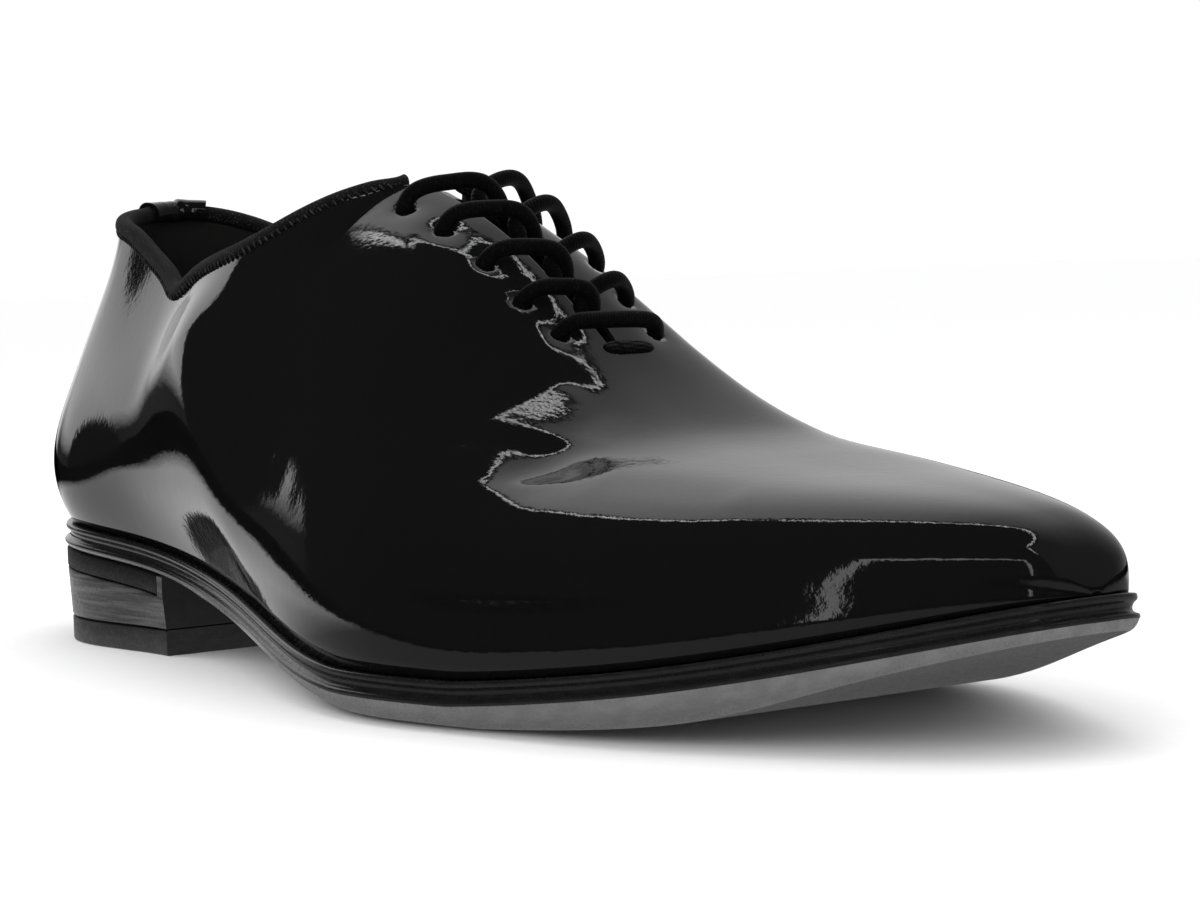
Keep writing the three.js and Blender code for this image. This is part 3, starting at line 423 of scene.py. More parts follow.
def addPiece(name, points, materials, faces=None, kinds=None, uv=None, sharp=None):
    # Points in rows and columns, joined as a grid unless faces are given; kinds number the faces' materials
    if faces is None:
        faces = gridFaces(*points.shape[:2])
    mesh = bpy.data.meshes.new(name)
    mesh.from_pydata(((points.reshape(-1, 3) - shift) / 1000).tolist(), [], [list(face) for face in faces])
    for material in materials:
        mesh.materials.append(material)
    if kinds is not None:
        mesh.polygons.foreach_set("material_index", np.asarray(kinds, np.int32))
    if uv is not None:
        corner = np.zeros(len(mesh.loops), np.int32)
        mesh.loops.foreach_get("vertex_index", corner)
        mesh.uv_layers.new(name="surface").data.foreach_set("uv", uv[corner].astype(np.float32).ravel())
    work = bmesh.new()
    work.from_mesh(mesh)
    bmesh.ops.remove_doubles(work, verts=work.verts, dist=2e-6)
    bmesh.ops.dissolve_degenerate(work, edges=work.edges, dist=1e-8)
    bmesh.ops.recalc_face_normals(work, faces=work.faces)
    work.to_mesh(mesh)
    work.free()
    mesh.polygons.foreach_set("use_smooth", np.ones(len(mesh.polygons), bool))
    if sharp is not None:
        mesh.set_sharp_from_angle(angle=math.radians(sharp))
    piece = bpy.data.objects.new(name, mesh)
    bpy.context.scene.collection.objects.link(piece)
    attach(piece, "root")
    print(name, len(mesh.polygons), "faces")
    return piece


def closedStrip(rows, count):
    # Faces of rows that run out over count points, back under them and end on the first, both ends closed
    faces = gridFaces(*rows.shape[:2]).tolist()
    last = (rows.shape[0] - 1) * rows.shape[1]
    for k in range(count - 1):
        end = [k, k + 1, 2 * count - 2 - k, 2 * count - 1 - k]
        faces += [end, [last + corner for corner in end[::-1]]]
    return faces


def runAlong(points, power=1):
    # Distance from the first point to each point, or the sum of a power of the steps
    return np.concatenate([[0], np.cumsum(np.linalg.norm(np.diff(points, axis=0), axis=1) ** power)])


def readAt(places, run, points):
    return np.column_stack([np.interp(places, run, column) for column in points.T])


def resample(points, step):
    # Smooth curve through points, in even steps
    chord = runAlong(points)
    fine = openCurve(chord, points)(np.linspace(0, chord[-1], 1200))
    run = runAlong(fine)
    places = np.linspace(0, run[-1], max(int(run[-1] / step), 4) + 1)
    return readAt(places, run, fine), places


def overRoute(profile, right, up):
    # Profile points (across, upward) turned to the directions at each place of a route
    return profile[None, :, :1] * right[:, None] + profile[None, :, 1:] * up[:, None]


def carryProfile(profile, centre, right, up):
    # The profile at each place of the route; the ends close in a dome
    turns = np.radians([0, 25, 50, 72])
    forward = unit(np.gradient(centre, axis=0))
    reach = abs(profile).max() * 0.8
    body = overRoute(profile, right, up)
    ends = []
    for end, sign in ((0, -1), (-1, 1)):
        middle = centre[end] + sign * forward[end] * reach * np.cos(turns)[:, None]
        ends.append(middle[:, None] + np.sin(turns)[:, None, None] * body[end])
    return np.concatenate([ends[0], centre[:, None] + body, ends[1][::-1]])


def ringProfile(width, height, power, count):
    # Closed superellipse, the last point on the first
    turns = np.linspace(0, 2 * math.pi, count + 1)
    a, b = np.cos(turns), np.sin(turns)
    return np.column_stack([
        width / 2 * np.sign(a) * abs(a) ** (2 / power),
        height / 2 * np.sign(b) * abs(b) ** (2 / power),
    ])


def runUv(rows, around):
    # Millimetres along the route and round the profile
    places = np.meshgrid(runAlong(rows.mean(1)), np.linspace(0, around, rows.shape[1]), indexing="ij")
    return np.stack(places, -1).reshape(-1, 2)


# Materials


def feed(tree, node, inputs):
    # An output is linked to the named or numbered input, anything else is set on it
    for key, value in inputs.items():
        if isinstance(value, bpy.types.NodeSocket):
            tree.links.new(value, node.inputs[key])
        else:
            node.inputs[key].default_value = value
    return node


def addNode(tree, kind, inputs={}, **settings):
    node = tree.nodes.new(kind)
    for key, value in settings.items():
        setattr(node, key, value)
    return feed(tree, node, inputs)


def noiseNode(tree, vector, scale, detail=3):
    return addNode(tree, "ShaderNodeTexNoise", {"Vector": vector, "Scale": scale, "Detail": detail}).outputs["Fac"]


def stretched(tree, vector, stretch):
    return addNode(tree, "ShaderNodeMapping", {"Vector": vector, "Scale": stretch}).outputs["Vector"]


def mathNode(tree, operation, *values):
    return addNode(tree, "ShaderNodeMath", dict(enumerate(values)), operation=operation).outputs["Value"]


def times(tree, first, *others):
    for other in others:
        first = mathNode(tree, "MULTIPLY", first, other)
    return first


def rangeNode(tree, value, fromLow, fromHigh, toLow=0, toHigh=1):
    ends = {"From Min": fromLow, "From Max": fromHigh, "To Min": toLow, "To Max": toHigh}
    return addNode(tree, "ShaderNodeMapRange", {"Value": value, **ends}, clamp=True).outputs["Result"]


def mixColours(tree, factor, dark, light):
    ends = {"Factor": factor, "A": (*dark, 1), "B": (*light, 1)}
    return addNode(tree, "ShaderNodeMix", ends, data_type="RGBA").outputs["Result"]


def bumpNode(tree, height, strength, distance):
    sizes = {"Height": height, "Strength": strength, "Distance": distance}
    return addNode(tree, "ShaderNodeBump", sizes).outputs["Normal"]


def newGroup(name, numbers, results):
    # A node group that takes a vector and named numbers and gives named numbers
    tree = bpy.data.node_groups.new(name, "ShaderNodeTree")
    tree.interface.new_socket("Vector", in_out="INPUT", socket_type="NodeSocketVector")
    for way, labels in (("INPUT", numbers), ("OUTPUT", results)):
        for label in labels:
            tree.interface.new_socket(label, in_out=way, socket_type="NodeSocketFloat")
    return tree, addNode(tree, "NodeGroupInput").outputs, addNode(tree, "NodeGroupOutput")


def fineGrainGroup():
    # Small pebbles and slow waves of a coated or smooth hide: height, and a roughness share
    tree, given, out = newGroup("fineGrain", ("Grain Scale", "Wave Scale", "Wave Share"), ("Height", "Wear"))
    grain = noiseNode(tree, given["Vector"], given["Grain Scale"])
    wave = noiseNode(tree, given["Vector"], given["Wave Scale"], 2)
    height = mathNode(tree, "ADD", grain, times(tree, wave, given["Wave Share"]))
    feed(tree, out, {"Height": height, "Wear": rangeNode(tree, wave, 0.35, 0.65)})
    return tree


def braidGroup():
    # Two sets of slanting cords on the piece's own millimetres, the second at its own share
    tree, given, out = newGroup("braid", ("Along", "Around", "Second"), ("Height",))
    place = addNode(tree, "ShaderNodeSeparateXYZ", {"Vector": given["Vector"]}).outputs
    run, turn = times(tree, place["X"], given["Along"]), times(tree, place["Y"], given["Around"])
    first, second = [mathNode(tree, "SINE", mathNode(tree, way, run, turn)) for way in ("ADD", "SUBTRACT")]
    both = mathNode(tree, "MULTIPLY_ADD", second, given["Second"], first)
    feed(tree, out, {"Height": rangeNode(tree, both, -1.5, 1.5)})
    return tree


fineGrain, braid = fineGrainGroup(), braidGroup()


def newMaterial(name):
    material = bpy.data.materials.new(name)
    material.use_nodes = True
    tree = material.node_tree
    return material, tree, tree.nodes["Principled BSDF"], addNode(tree, "ShaderNodeTexCoord").outputs


def hideMaterial(name, colour, specular, roughness, grainScale, waveScale, waveShare, strength, depth):
    material, tree, shader, place = newMaterial(name)
    grain = addNode(tree, "ShaderNodeGroup", {
        "Vector": place["Object"], "Grain Scale": grainScale, "Wave Scale": waveScale, "Wave Share": waveShare,
    }, node_tree=fineGrain).outputs
    feed(tree, shader, {
        "Base Color": (*colour, 1), "Specular IOR Level": specular,
        "Roughness": rangeNode(tree, grain["Wear"], 0, 1, *roughness),
        "Normal": bumpNode(tree, grain["Height"], strength, depth),
    })
    return material


def braidMaterial(name, dark, light, along, around, second, strength, roughness, sheen):
    material, tree, shader, place = newMaterial(name)
    weave = addNode(tree, "ShaderNodeGroup", {
        "Vector": place["UV"], "Along": along, "Around": around, "Second": second,
    }, node_tree=braid).outputs["Height"]
    fluff = noiseNode(tree, stretched(tree, place["Object"], (1, 1, 1)), 2600, 2)
    specks = times(tree, rangeNode(tree, fluff, 0.55, 0.75), weave)
    feed(tree, shader, {
        "Base Color": mixColours(tree, specks, dark, light), "Specular IOR Level": 0.15,
        "Roughness": roughness, "Sheen Weight": sheen, "Sheen Roughness": 0.4,
        "Normal": bumpNode(tree, mathNode(tree, "MULTIPLY_ADD", fluff, 0.5, weave), strength, 0.0004),
    })
    return material


def streakMaterial(name, dark, light, scale, stretch, roughness, strength, contrast=(0.42, 0.62)):
    material, tree, shader, place = newMaterial(name)
    streak = noiseNode(tree, stretched(tree, place["Object"], stretch), scale, 5)
    fine = noiseNode(tree, stretched(tree, place["Object"], (1, 1, 1)), 1500, 2)
    feed(tree, shader, {
        "Base Color": mixColours(tree, rangeNode(tree, streak, *contrast), dark, light), "Specular IOR Level": 0.4,
        "Roughness": rangeNode(tree, fine, 0.3, 0.7, roughness, roughness + 0.18),
        "Normal": bumpNode(tree, mathNode(tree, "MULTIPLY_ADD", fine, 0.4, streak), strength, 0.0005),
    })
    return material


# colour, specular, roughness from and to, grain scale, wave scale, wave share, bump strength, bump depth
hideRows = {
    "patentLeather": ((0.004, 0.004, 0.0043), 0.5, (0.025, 0.05), 750, 110, 1.6, 0.022, 0.001),
    "liningLeather": ((0.012, 0.0115, 0.011), 0.35, (0.5, 0.65), 1600, 140, 0.6, 0.25, 0.0006),
}
# dark, light, turns along, turns around, share of the second set, bump, roughness, sheen
braidRows = {
    "bindingCloth": ((0.004, 0.004, 0.0042), (0.07, 0.07, 0.07), 7, 7, 0.4, 0.35, 0.85, 0.03),
    "laceCord": ((0.0012, 0.0012, 0.0013), (0.012, 0.012, 0.012), 9, 4.5, 0.25, 0.3, 0.65, 0.02),
    "tackThread": ((0.0012, 0.0012, 0.0013), (0.012, 0.012, 0.012), 1, 9, 1, 0.6, 0.65, 0.02),
}
# dark, light, streak scale, stretch, roughness, bump, and where the contrast isn't the usual one, its ends
streakRows = {
    "stitchThread": ((0.008, 0.008, 0.008), (0.03, 0.03, 0.03), 900, (1, 1, 1), 0.55, 0.2),
    "edgeInk": ((0.007, 0.007, 0.0072), (0.0095, 0.0095, 0.0097), 900, (0.25, 0.25, 1.6), 0.12, 0.02),
    "treadFinish": ((0.05, 0.05, 0.051), (0.066, 0.066, 0.067), 420, (0.3, 1, 1), 0.34, 0.04),
    # the bevel's light grey tone is a painted reflection of the floor, laid over the finish's real streaks
    "bevelFinish": ((0.13, 0.13, 0.132), (0.155, 0.155, 0.157), 420, (0.3, 1, 1), 0.22, 0.03),
    "randFinish": ((0.003, 0.003, 0.003), (0.014, 0.014, 0.014), 2600, (1, 1, 1), 0.62, 0.3, (0.5, 0.75)),
    "stackFinish": ((0.009, 0.009, 0.0093), (0.05, 0.05, 0.051), 420, (0.16, 0.16, 3.2), 0.3, 0.16),
    "breastFinish": ((0.005, 0.005, 0.0052), (0.008, 0.008, 0.0082), 300, (1, 1, 1), 0.4, 0.04),
    "topPieceRubber": ((0.011, 0.011, 0.0113), (0.02, 0.02, 0.0205), 500, (0.5, 0.5, 2), 0.45, 0.1),
}
looks = {}
for rowsOf, make in ((hideRows, hideMaterial), (braidRows, braidMaterial), (streakRows, streakMaterial)):
    looks.update({name: make(name, *row) for name, row in rowsOf.items()})
print("materials made")


# Upper: the form's surface, cut at the collar and the slit, with its edge rounded over the wall

upperShape = {
    "columns": 60,
    "roundSteps": 6,
    "outerSetback": 11,
    "innerSetback": 9.8,
    "eyeletDiameter": 3.8,
    "eyeletAlong": [0.451, 0.488, 0.526, 0.557, 0.582],
    "toInner": [0, 0, 0, 0.6, 2.4],
    "eyeletDip": 0.45,
    "dipWidth": 3.4,
    "bindingWidth": 4,
    "bindingHeight": 3.6,
}

# Creases: routes as (share of the length, share up the side), lift in millimetres, and the bell's
# width on the route's right and left hand
creases = {
    "hookFold": {
        "points": [
            (0.6235, 0.284), (0.6235, 0.316), (0.6184, 0.359), (0.616, 0.403), (0.626, 0.415), (0.648, 0.372),
            (0.672, 0.328), (0.7, 0.285), (0.734, 0.239), (0.768, 0.209),
        ],
        "lift": -0.25, "right": 2, "left": 5,
    },
    "flexHollow": {
        "points": [(0.656, 0.335), (0.678, 0.292), (0.697, 0.255)],
        "lift": -1.9, "right": 7.5, "left": 7,
    },
    "vampTrough": {
        "points": [(0.7297, 0.2745), (0.7492, 0.2791), (0.7941, 0.2745), (0.83, 0.279)],
        "lift": -0.6, "right": 8, "left": 8,
    },
    "facingRoll": {
        "points": [(0.43, 0.36), (0.468, 0.357), (0.4964, 0.3662), (0.5347, 0.39), (0.56, 0.41)],
        "lift": 0.7, "right": 12, "left": 5,
    },
    "flexFold": {
        "points": [(0.5851, 0.429), (0.5955, 0.3815), (0.6032, 0.3433), (0.6108, 0.3173), (0.6159, 0.2913)],
        "lift": 0.22, "right": 1.0, "left": 5,
    },
    "dimple": {
        "points": [(0.6235, 0.2561), (0.6285, 0.2607), (0.6335, 0.2638)],
        "lift": -0.4, "right": 1.8, "left": 1.8,
    },
    "quarterLine": {
        "points": [
            (0.3406, 0.1935), (0.3732, 0.1705), (0.4112, 0.1476), (0.4571, 0.1201), (0.4991, 0.1063), (0.532, 0.0956),
        ],
        "lift": -0.22, "right": 1.1, "left": 1.1,
    },
    "sideMark": {
        "points": [(0.5694, 0.0864), (0.58, 0.0849), (0.5877, 0.0834)],
        "lift": -0.2, "right": 1.6, "left": 1.6,
    },
}

# The counter swells towards the front, drops into a shallow valley and the quarter runs on nearly straight:
# millimetres in front of the valley line, lift in millimetres
counterShape = {
    "valley": (0.3047, 0.2286), "lean": 0.727,
    "lifts": np.array([
        (-125, 0), (-105, 0), (-92, 0.15), (-75, 1), (-58, 2), (-40, 2.35), (-20, 2.4), (-8, 2.2), (0, 1.3),
        (10, 0.1), (20, -0.85), (30, -1.55), (45, -2.2), (80, -2.7), (120, -1.9), (160, -0.6), (195, 0), (230, 0),
    ]),
}
counterCurve = openCurve(counterShape["lifts"][:, 0], counterShape["lifts"][:, 1:])

upperStations = np.concatenate([
    np.linspace(0, fanShare, 56)[:-1],
    frontStation(np.linspace(heelX, 0.40 * length, 72))[:-1],
    frontStation(np.linspace(0.40 * length, 0.63 * length, 92))[:-1],
    np.linspace(frontStation(0.63 * length), 1, 84),
])
upperSections = makeSections(upperStations)


def upperEdge(sections, side):
    # The collar line raised into the binding, or the slit where that comes first
    lowered = upperShape["bindingHeight"] / 2 - 0.3
    crossing = firstCrossing(
        lambda half: np.maximum(pastCollar(sections, half, side) + lowered, pastFacing(sections, half, side)),
        len(sections["stations"]),
    )
    return np.where(np.isnan(crossing), 0.5, crossing)


def counterLift(half, belowEdge):
    # Lift by the distance in front of the slanting valley line, faded at the feather and under the collar:
    # slowly over the swell, quickly over the valley
    share = np.clip((upperStations - fanShare) / (1 - fanShare), 0, 1)
    x = heelX + (toeX - heelX) * np.sin(math.pi / 2 * share)
    x = np.where(upperStations < fanShare, heelX * np.sin(math.pi / 2 * upperStations / fanShare), x)[:, None]
    along, up = counterShape["valley"]
    ahead = x - length * (along + (up - half) * counterShape["lean"])
    fade = 34 - 20 * softStep(ahead, -45, 5) + 10 * softStep(ahead, 15, 60)
    return counterCurve(ahead)[..., 0] * softStep(half, 0, 0.07) * softStep(belowEdge / fade, 0, 1)


def creaseLift(points, normals):
    # Sum of bells round each crease's route, narrow on one hand and wide on the other, faded at the ends
    flat, outwards = points.reshape(-1, 3), normals.reshape(-1, 3)
    total = np.zeros(len(flat))
    for crease in creases.values():
        places = np.array(crease["points"])
        sections = makeSections(frontStation(places[:, 0] * length))
        route = resample(onSections(sections, places[:, 1:])[0][:, 0], 1.0)[0]
        reach = 3.2 * max(crease["right"], crease["left"])
        close = (flat > route.min(0) - reach).all(1) & (flat < route.max(0) + reach).all(1)
        near = flat[close]
        start, step = route[:-1], np.diff(route, axis=0)
        share = np.clip(((near[:, None] - start) * step).sum(-1) / (step * step).sum(-1), 0, 1)
        foot = start + share[..., None] * step
        distance = np.linalg.norm(near[:, None] - foot, axis=-1)
        nearest = distance.argmin(1)
        pick = np.arange(len(near))
        hand = (np.cross(unit(step[nearest]), outwards[close]) * (near - foot[pick, nearest])).sum(-1)
        width = crease["left"] + (crease["right"] - crease["left"]) * (0.5 + 0.5 * np.tanh(hand / 0.5))
        run = (nearest + share[pick, nearest]) / len(step)
        fade = np.sin(math.pi * np.clip(run, 0.02, 0.98)) ** 0.6
        total[close] += crease["lift"] * fade * np.exp(-(distance[pick, nearest] / width) ** 2)
    return total.reshape(points.shape[:-1])


rowX = np.array(upperShape["eyeletAlong"]) * length


def eyeletOffset(x, side):
    toInner = np.interp(x, rowX, upperShape["toInner"])
    return slitHalf(x) + upperShape["outerSetback" if side < 0 else "innerSetback"] + side * toInner


def upperSide(side):
    edge = upperEdge(upperSections, side)
    closed = edge >= 0.5
    across = onSections(upperSections, sideT(edge, side)[:, None])[2]
    stretch = np.maximum(np.linalg.norm(across, axis=-1), 1)
    radius = wall / 2
    lean = 1 - (1 - np.linspace(0, 1, upperShape["columns"])) ** 1.6
    turns = np.linspace(0, math.pi / 2, upperShape["roundSteps"] + 1)[1:]
    edge = edge[:, None]
    half = np.concatenate([(edge - radius / stretch) * lean, edge - radius * (1 - np.sin(turns)) / stretch], 1)
    depth = np.concatenate([np.zeros(len(lean)), radius * (1 - np.cos(turns))])
    depth = np.where(closed[:, None], 0, depth)
    point, along, acrossAll = onSections(upperSections, sideT(half, side))
    normal = outward(upperSections, along, acrossAll)
    lift = np.zeros(point.shape[:2])
    if side < 0:
        lift = creaseLift(point, normal) + counterLift(half, (edge - half) * stretch)
    centres, directions = onForm(rowX, eyeletOffset(rowX, side), side, 0)
    away = np.linalg.norm(point[:, :, None] - centres, axis=-1)
    lift = lift - upperShape["eyeletDip"] * np.exp(-(away.min(-1) / upperShape["dipWidth"]) ** 2)
    outer = point + normal * (lift - depth)[..., None]
    inner = point + normal * (lift - wall + depth)[..., None]
    inner[:, 0, 2] = outer[:, 0, 2]
    # eyelets: faces whose middle is in a hole are left out and the rim is moved on to the circle
    hole = upperShape["eyeletDiameter"] / 2
    middle = (point[:-1, :-1] + point[1:, :-1] + point[1:, 1:] + point[:-1, 1:]) / 4
    gone = (np.linalg.norm(middle[:, :, None] - centres, axis=-1) < hole).any(-1)
    around = np.pad(gone, 1).astype(int)
    touched = around[:-1, :-1] + around[1:, :-1] + around[1:, 1:] + around[:-1, 1:]
    rim = (touched > 0) & (touched < 4)
    which = away.argmin(-1)[rim]
    offset = point[rim] - centres[which]
    offset -= directions[which] * (offset * directions[which]).sum(-1, keepdims=True)
    moved = unit(offset) * hole - offset
    outer[rim] += moved
    inner[rim] += moved
    return {"outer": outer, "inner": inner, "closed": closed, "gone": gone}


def makeUpper():
    near, far = upperSide(-1), upperSide(1)
    shut = near["closed"] & far["closed"]
    openPart = ~(shut[:-1] & shut[1:])
    for key in ("outer", "inner"):
        far[key][0] = near[key][0]
        far[key][shut, -1] = near[key][shut, -1]
    rows, columns = near["outer"].shape[:2]
    size = rows * columns
    points, faces, kinds = [], [], []
    for part in (near, far):
        index = np.arange(size).reshape(rows, columns) + len(points) * size
        points += [part["outer"].reshape(-1, 3), part["inner"].reshape(-1, 3)]
        keep = ~part["gone"].ravel()
        outerFaces = gridFaces(rows, columns, index[0, 0])[keep]
        foot, top = index[:, 0], index[:, -1]
        footFaces = np.stack([foot[:-1], foot[:-1] + size, foot[1:] + size, foot[1:]], -1)
        topFaces = np.stack([top[:-1], top[1:], top[1:] + size, top[:-1] + size], -1)[openPart]
        gone = np.pad(part["gone"], 1)
        rims = []
        for kept, (a, b, c, d) in (
            (gone[:-2, 1:-1], (0, 0, 0, 1)), (gone[2:, 1:-1], (1, 0, 1, 1)),
            (gone[1:-1, :-2], (0, 0, 1, 0)), (gone[1:-1, 2:], (0, 1, 1, 1)),
        ):
            i, j = np.nonzero(part["gone"] & ~kept)
            first, second = index[i + a, j + b], index[i + c, j + d]
            rims.append(np.stack([first, second, second + size, first + size], -1))
        blocks = (outerFaces, outerFaces[:, ::-1] + size, footFaces, topFaces, np.concatenate(rims))
        for block, kind in zip(blocks, (0, 1, 1, 0, 0)):
            faces.append(block)
            kinds.append(np.full(len(block), kind))
    piece = addPiece(
        "upper_patent", np.concatenate(points), [looks["patentLeather"], looks["liningLeather"]],
        np.concatenate(faces), np.concatenate(kinds),
    )
    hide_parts("upper")


makeUpper()


# Binding, its stitches and the pull tab

collarShape = {
    "tabWidth": 15, "tabThickness": 1.1, "tabTurns": (-16, 196), "tabPoints": 40,
    "stitchStep": 1.6, "stitchLength": 1.5, "stitchWidth": 0.5, "endMargin": 4,
}


def collarSide(stations, side):
    sections = makeSections(stations)
    crossing = firstCrossing(lambda half: pastCollar(sections, half, side), len(stations))
    blocked = np.isnan(crossing)
    halves = np.where(blocked, 0.4, crossing)
    blocked |= pastFacing(sections, halves[:, None], side)[:, 0] > 0
    count = len(stations) if not blocked.any() else int(blocked.argmax())
    if count < len(stations):
        halves[count] = upperEdge(sections, side)[count]
    point, along, across = onSections(sections, sideT(halves, side)[:, None])
    normal = outward(sections, along, across)[:, 0]
    slopeAlong, slopeAcross = collarSlopes(point, along, across, side)[1:]
    route = unit(along * slopeAcross[..., None] - across * slopeAlong[..., None])[:, 0]
    up = unit(np.cross(normal, route))
    up = np.where(up[:, 2:] < 0, -up, up)
    centre = point[:, 0] - normal * wall / 2
    if count < len(stations):
        up[count] = up[count - 1]
        centre[count] += up[count] * (upperShape["bindingHeight"] / 2 + gap)
        count += 1
    return centre[:count], normal[:count], up[:count]


def collarRoute(stations, step):
    # Centre, outward and upward directions along the collar, from the outer side round the back
    pairs = zip(collarSide(stations, -1), collarSide(stations, 1))
    frames = [np.concatenate([near[::-1], far[1:]]) for near, far in pairs]
    centre, places = resample(frames[0], step)
    chord = runAlong(frames[0])
    return [centre] + [unit(readAt(places / places[-1] * chord[-1], chord, frame)) for frame in frames[1:]]


def makeBinding():
    stations = upperStations[upperStations < frontStation(0.5 * length)][::2]
    centre, out, up = collarRoute(stations, 0.7)
    profile = ringProfile(upperShape["bindingWidth"], upperShape["bindingHeight"], 2.5, 28)
    rows = carryProfile(profile, centre, out, up)
    piece = addPiece("collar_binding_cloth", rows, [looks["bindingCloth"]], uv=runUv(rows, 12))
    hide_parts("collar_binding")
    makeBindingStitches(centre, out, up)


def makeBindingStitches(centre, out, up):
    # Slanting bars over the binding's lower edge on the outside: a small tube bent down on to the leather
    chord = runAlong(centre)
    places = np.arange(collarShape["endMargin"], chord[-1] - collarShape["endMargin"], collarShape["stitchStep"])
    middle, side, rise = [readAt(places, chord, frame)[:, None] for frame in (centre, out, up)]
    forward = unit(np.cross(side, rise))
    share = np.linspace(-0.5, 0.5, 6)[:, None]
    drop = -upperShape["bindingHeight"] / 2 * 1.05 + share * collarShape["stitchLength"]
    bow = 1.25 + 0.5 * share + 0.1 * np.cos(math.pi * share)
    spine = middle + side * bow + rise * drop + forward * share * 0.7
    turns = np.linspace(0, 2 * math.pi, 7)[:, None]
    size = collarShape["stitchWidth"] / 2 * np.sqrt(np.clip(1 - (share * 2) ** 4, 0.02, 1))
    ring = (side[:, None] * np.cos(turns) + forward[:, None] * np.sin(turns)) * size[..., None]
    points = spine[:, :, None] + ring
    step = len(share) * len(turns)
    starts = np.arange(len(places))[:, None] * step
    faces = (gridFaces(len(share), len(turns))[None] + starts[..., None]).reshape(-1, 4).tolist()
    cap = starts + np.arange(len(turns) - 1)
    faces += cap.tolist() + (cap + step - len(turns))[:, ::-1].tolist()
    piece = addPiece("binding_stitches", points, [looks["stitchThread"]], faces)


def makeTab():
    back = collarSide(np.array([0.0, 0.01]), -1)[0][0]
    radius = math.hypot(heelX - back[0], back[1] - makeSections([0.0])["ridgeY"][0])
    halfFan = fanShare * (collarShape["tabWidth"] / 2) / (radius * math.pi / 2)
    centre, out, up = collarRoute(np.linspace(0, halfFan, 12), 0.35)
    count, thick = collarShape["tabPoints"], collarShape["tabThickness"]
    turns = np.radians(np.linspace(*collarShape["tabTurns"], count))
    angle = np.concatenate([turns, turns[::-1], turns[:1]])
    # the outer face, back along the inner face, and the first point again
    outside = np.concatenate([np.ones(count), np.zeros(count), [1]])
    clear = gap * 0.7 + thick * outside
    profile = np.column_stack([
        (upperShape["bindingWidth"] / 2 + clear) * np.sign(np.cos(angle)) * abs(np.cos(angle)) ** 0.85,
        (upperShape["bindingHeight"] / 2 + clear) * np.sin(angle),
    ])
    run = np.linspace(-1, 1, len(centre))[:, None]
    # two soft folds across the tab and a lift in its middle
    ridge, furrow = np.exp(-((run - 0.25) / 0.12) ** 2), np.exp(-((run + 0.3) / 0.1) ** 2)
    fold = 0.22 * np.sin(run * 5.2 + angle * 1.7) + 0.28 * ridge - 0.3 * furrow
    grow = 1 + 0.1 * fold * outside
    rows = centre[:, None] + overRoute(profile, out, up) * grow[..., None]
    piece = addPiece("heel_tab_patent", rows, [looks["patentLeather"]], closedStrip(rows, count), sharp=50)
    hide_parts("heel_tab")


makeBinding()
makeTab()


# Tongue: a thin pad under the facings, held down where the lace runs under them

tongueShape = {
    "thickness": 1.8, "overlap": 10, "drop": 1.7, "laceRoom": 2.0, "steps": 80, "across": 40,
    "pastThroat": 0.045, "pastTop": 0.008,
}


def makeTongue():
    front = (shoe["throatAlong"] + tongueShape["pastThroat"]) * length
    back = (shoe["facingTopAlong"] - tongueShape["pastTop"]) * length
    share = np.linspace(0, 1, tongueShape["steps"])[:, None]
    x = front + (back - front) * share
    slit = np.maximum(slitHalf(x), 0)
    place = np.linspace(-1, 1, tongueShape["across"])
    offset = (slit + tongueShape["overlap"]) * place
    ease = softStep(share, 0.1, 0.7)
    under = softStep(abs(offset) - slit, -1.5, 2)
    depth = wall + gap + (tongueShape["drop"] + tongueShape["laceRoom"] * under) * ease
    side = np.where(offset < 0, -1, 1)
    flatX = np.broadcast_to(x, offset.shape).ravel()
    top, normal = onForm(flatX, abs(offset).ravel(), side.ravel(), -depth.ravel())
    thick = tongueShape["thickness"] * np.sqrt(np.clip(1 - place ** 8, 0.05, 1))
    low = top - normal * np.tile(thick, len(x))[:, None]
    top, low = top.reshape(len(x), -1, 3), low.reshape(len(x), -1, 3)
    rows = np.concatenate([top, low[:, ::-1], top[:, :1]], 1)
    piece = addPiece("tongue_patent", rows, [looks["patentLeather"]], closedStrip(rows, len(place)), sharp=60)
    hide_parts("tongue")


makeTongue()


# Lace: one cord from the outer top eyelet down to the bar and back up to the inner top eyelet

laceShape = {"diameter": 3.4, "arch": 2.9, "step": 0.45, "sides": 28}
ride = laceShape["diameter"] / 2 + 2 * gap


def strandKeys(row, side):
    # x, distance from the ridge, lift; from an eyelet over to the slit and under the other facing to the
    # next eyelet. The distance is negative past the ridge until it's turned to the strand's side
    x, pitch = rowX[row], rowX[row + 1] - rowX[row]
    here, there = eyeletOffset(x, side), eyeletOffset(x + pitch, -side)
    arch = laceShape["arch"] * (0.5 if side < 0 else 1)
    middle = ride + 0.25 * laceShape["arch"]
    apart = 0.42 * laceShape["diameter"]
    slit = slitHalf(x + 0.55 * pitch)
    return turned([
        (x, here + 0.6, -1.6), (x, here, 0.2), (x + 0.01 * pitch, here - 1.6, ride - 0.2),
        (x + 0.05 * pitch, 0.68 * here, ride + 0.6 * arch), (x + 0.14 * pitch, 0.4 * here, ride + arch),
        (x + 0.34 * pitch, 0, middle - side * apart), (x + 0.5 * pitch, -0.6 * max(slit - 0.6, 0.4), 0.5 - 0.4 * side),
        (x + 0.6 * pitch, -max(slit - 0.4, 0.8), -2.4), (x + 0.72 * pitch, -(slit + 3), -3.9),
        (x + 0.92 * pitch, -(there - 2.2), -3.9), (x + pitch, -(there + 0.3), -2.9),
    ], side)


def turned(keys, side):
    return [(x, offset * side, lift) for x, offset, lift in keys]


def hiddenEnd(side):
    x, offset = rowX[0], eyeletOffset(rowX[0], side) + 0.4
    return turned([(x, offset, -5.5), (x, offset, -3.4)], side)


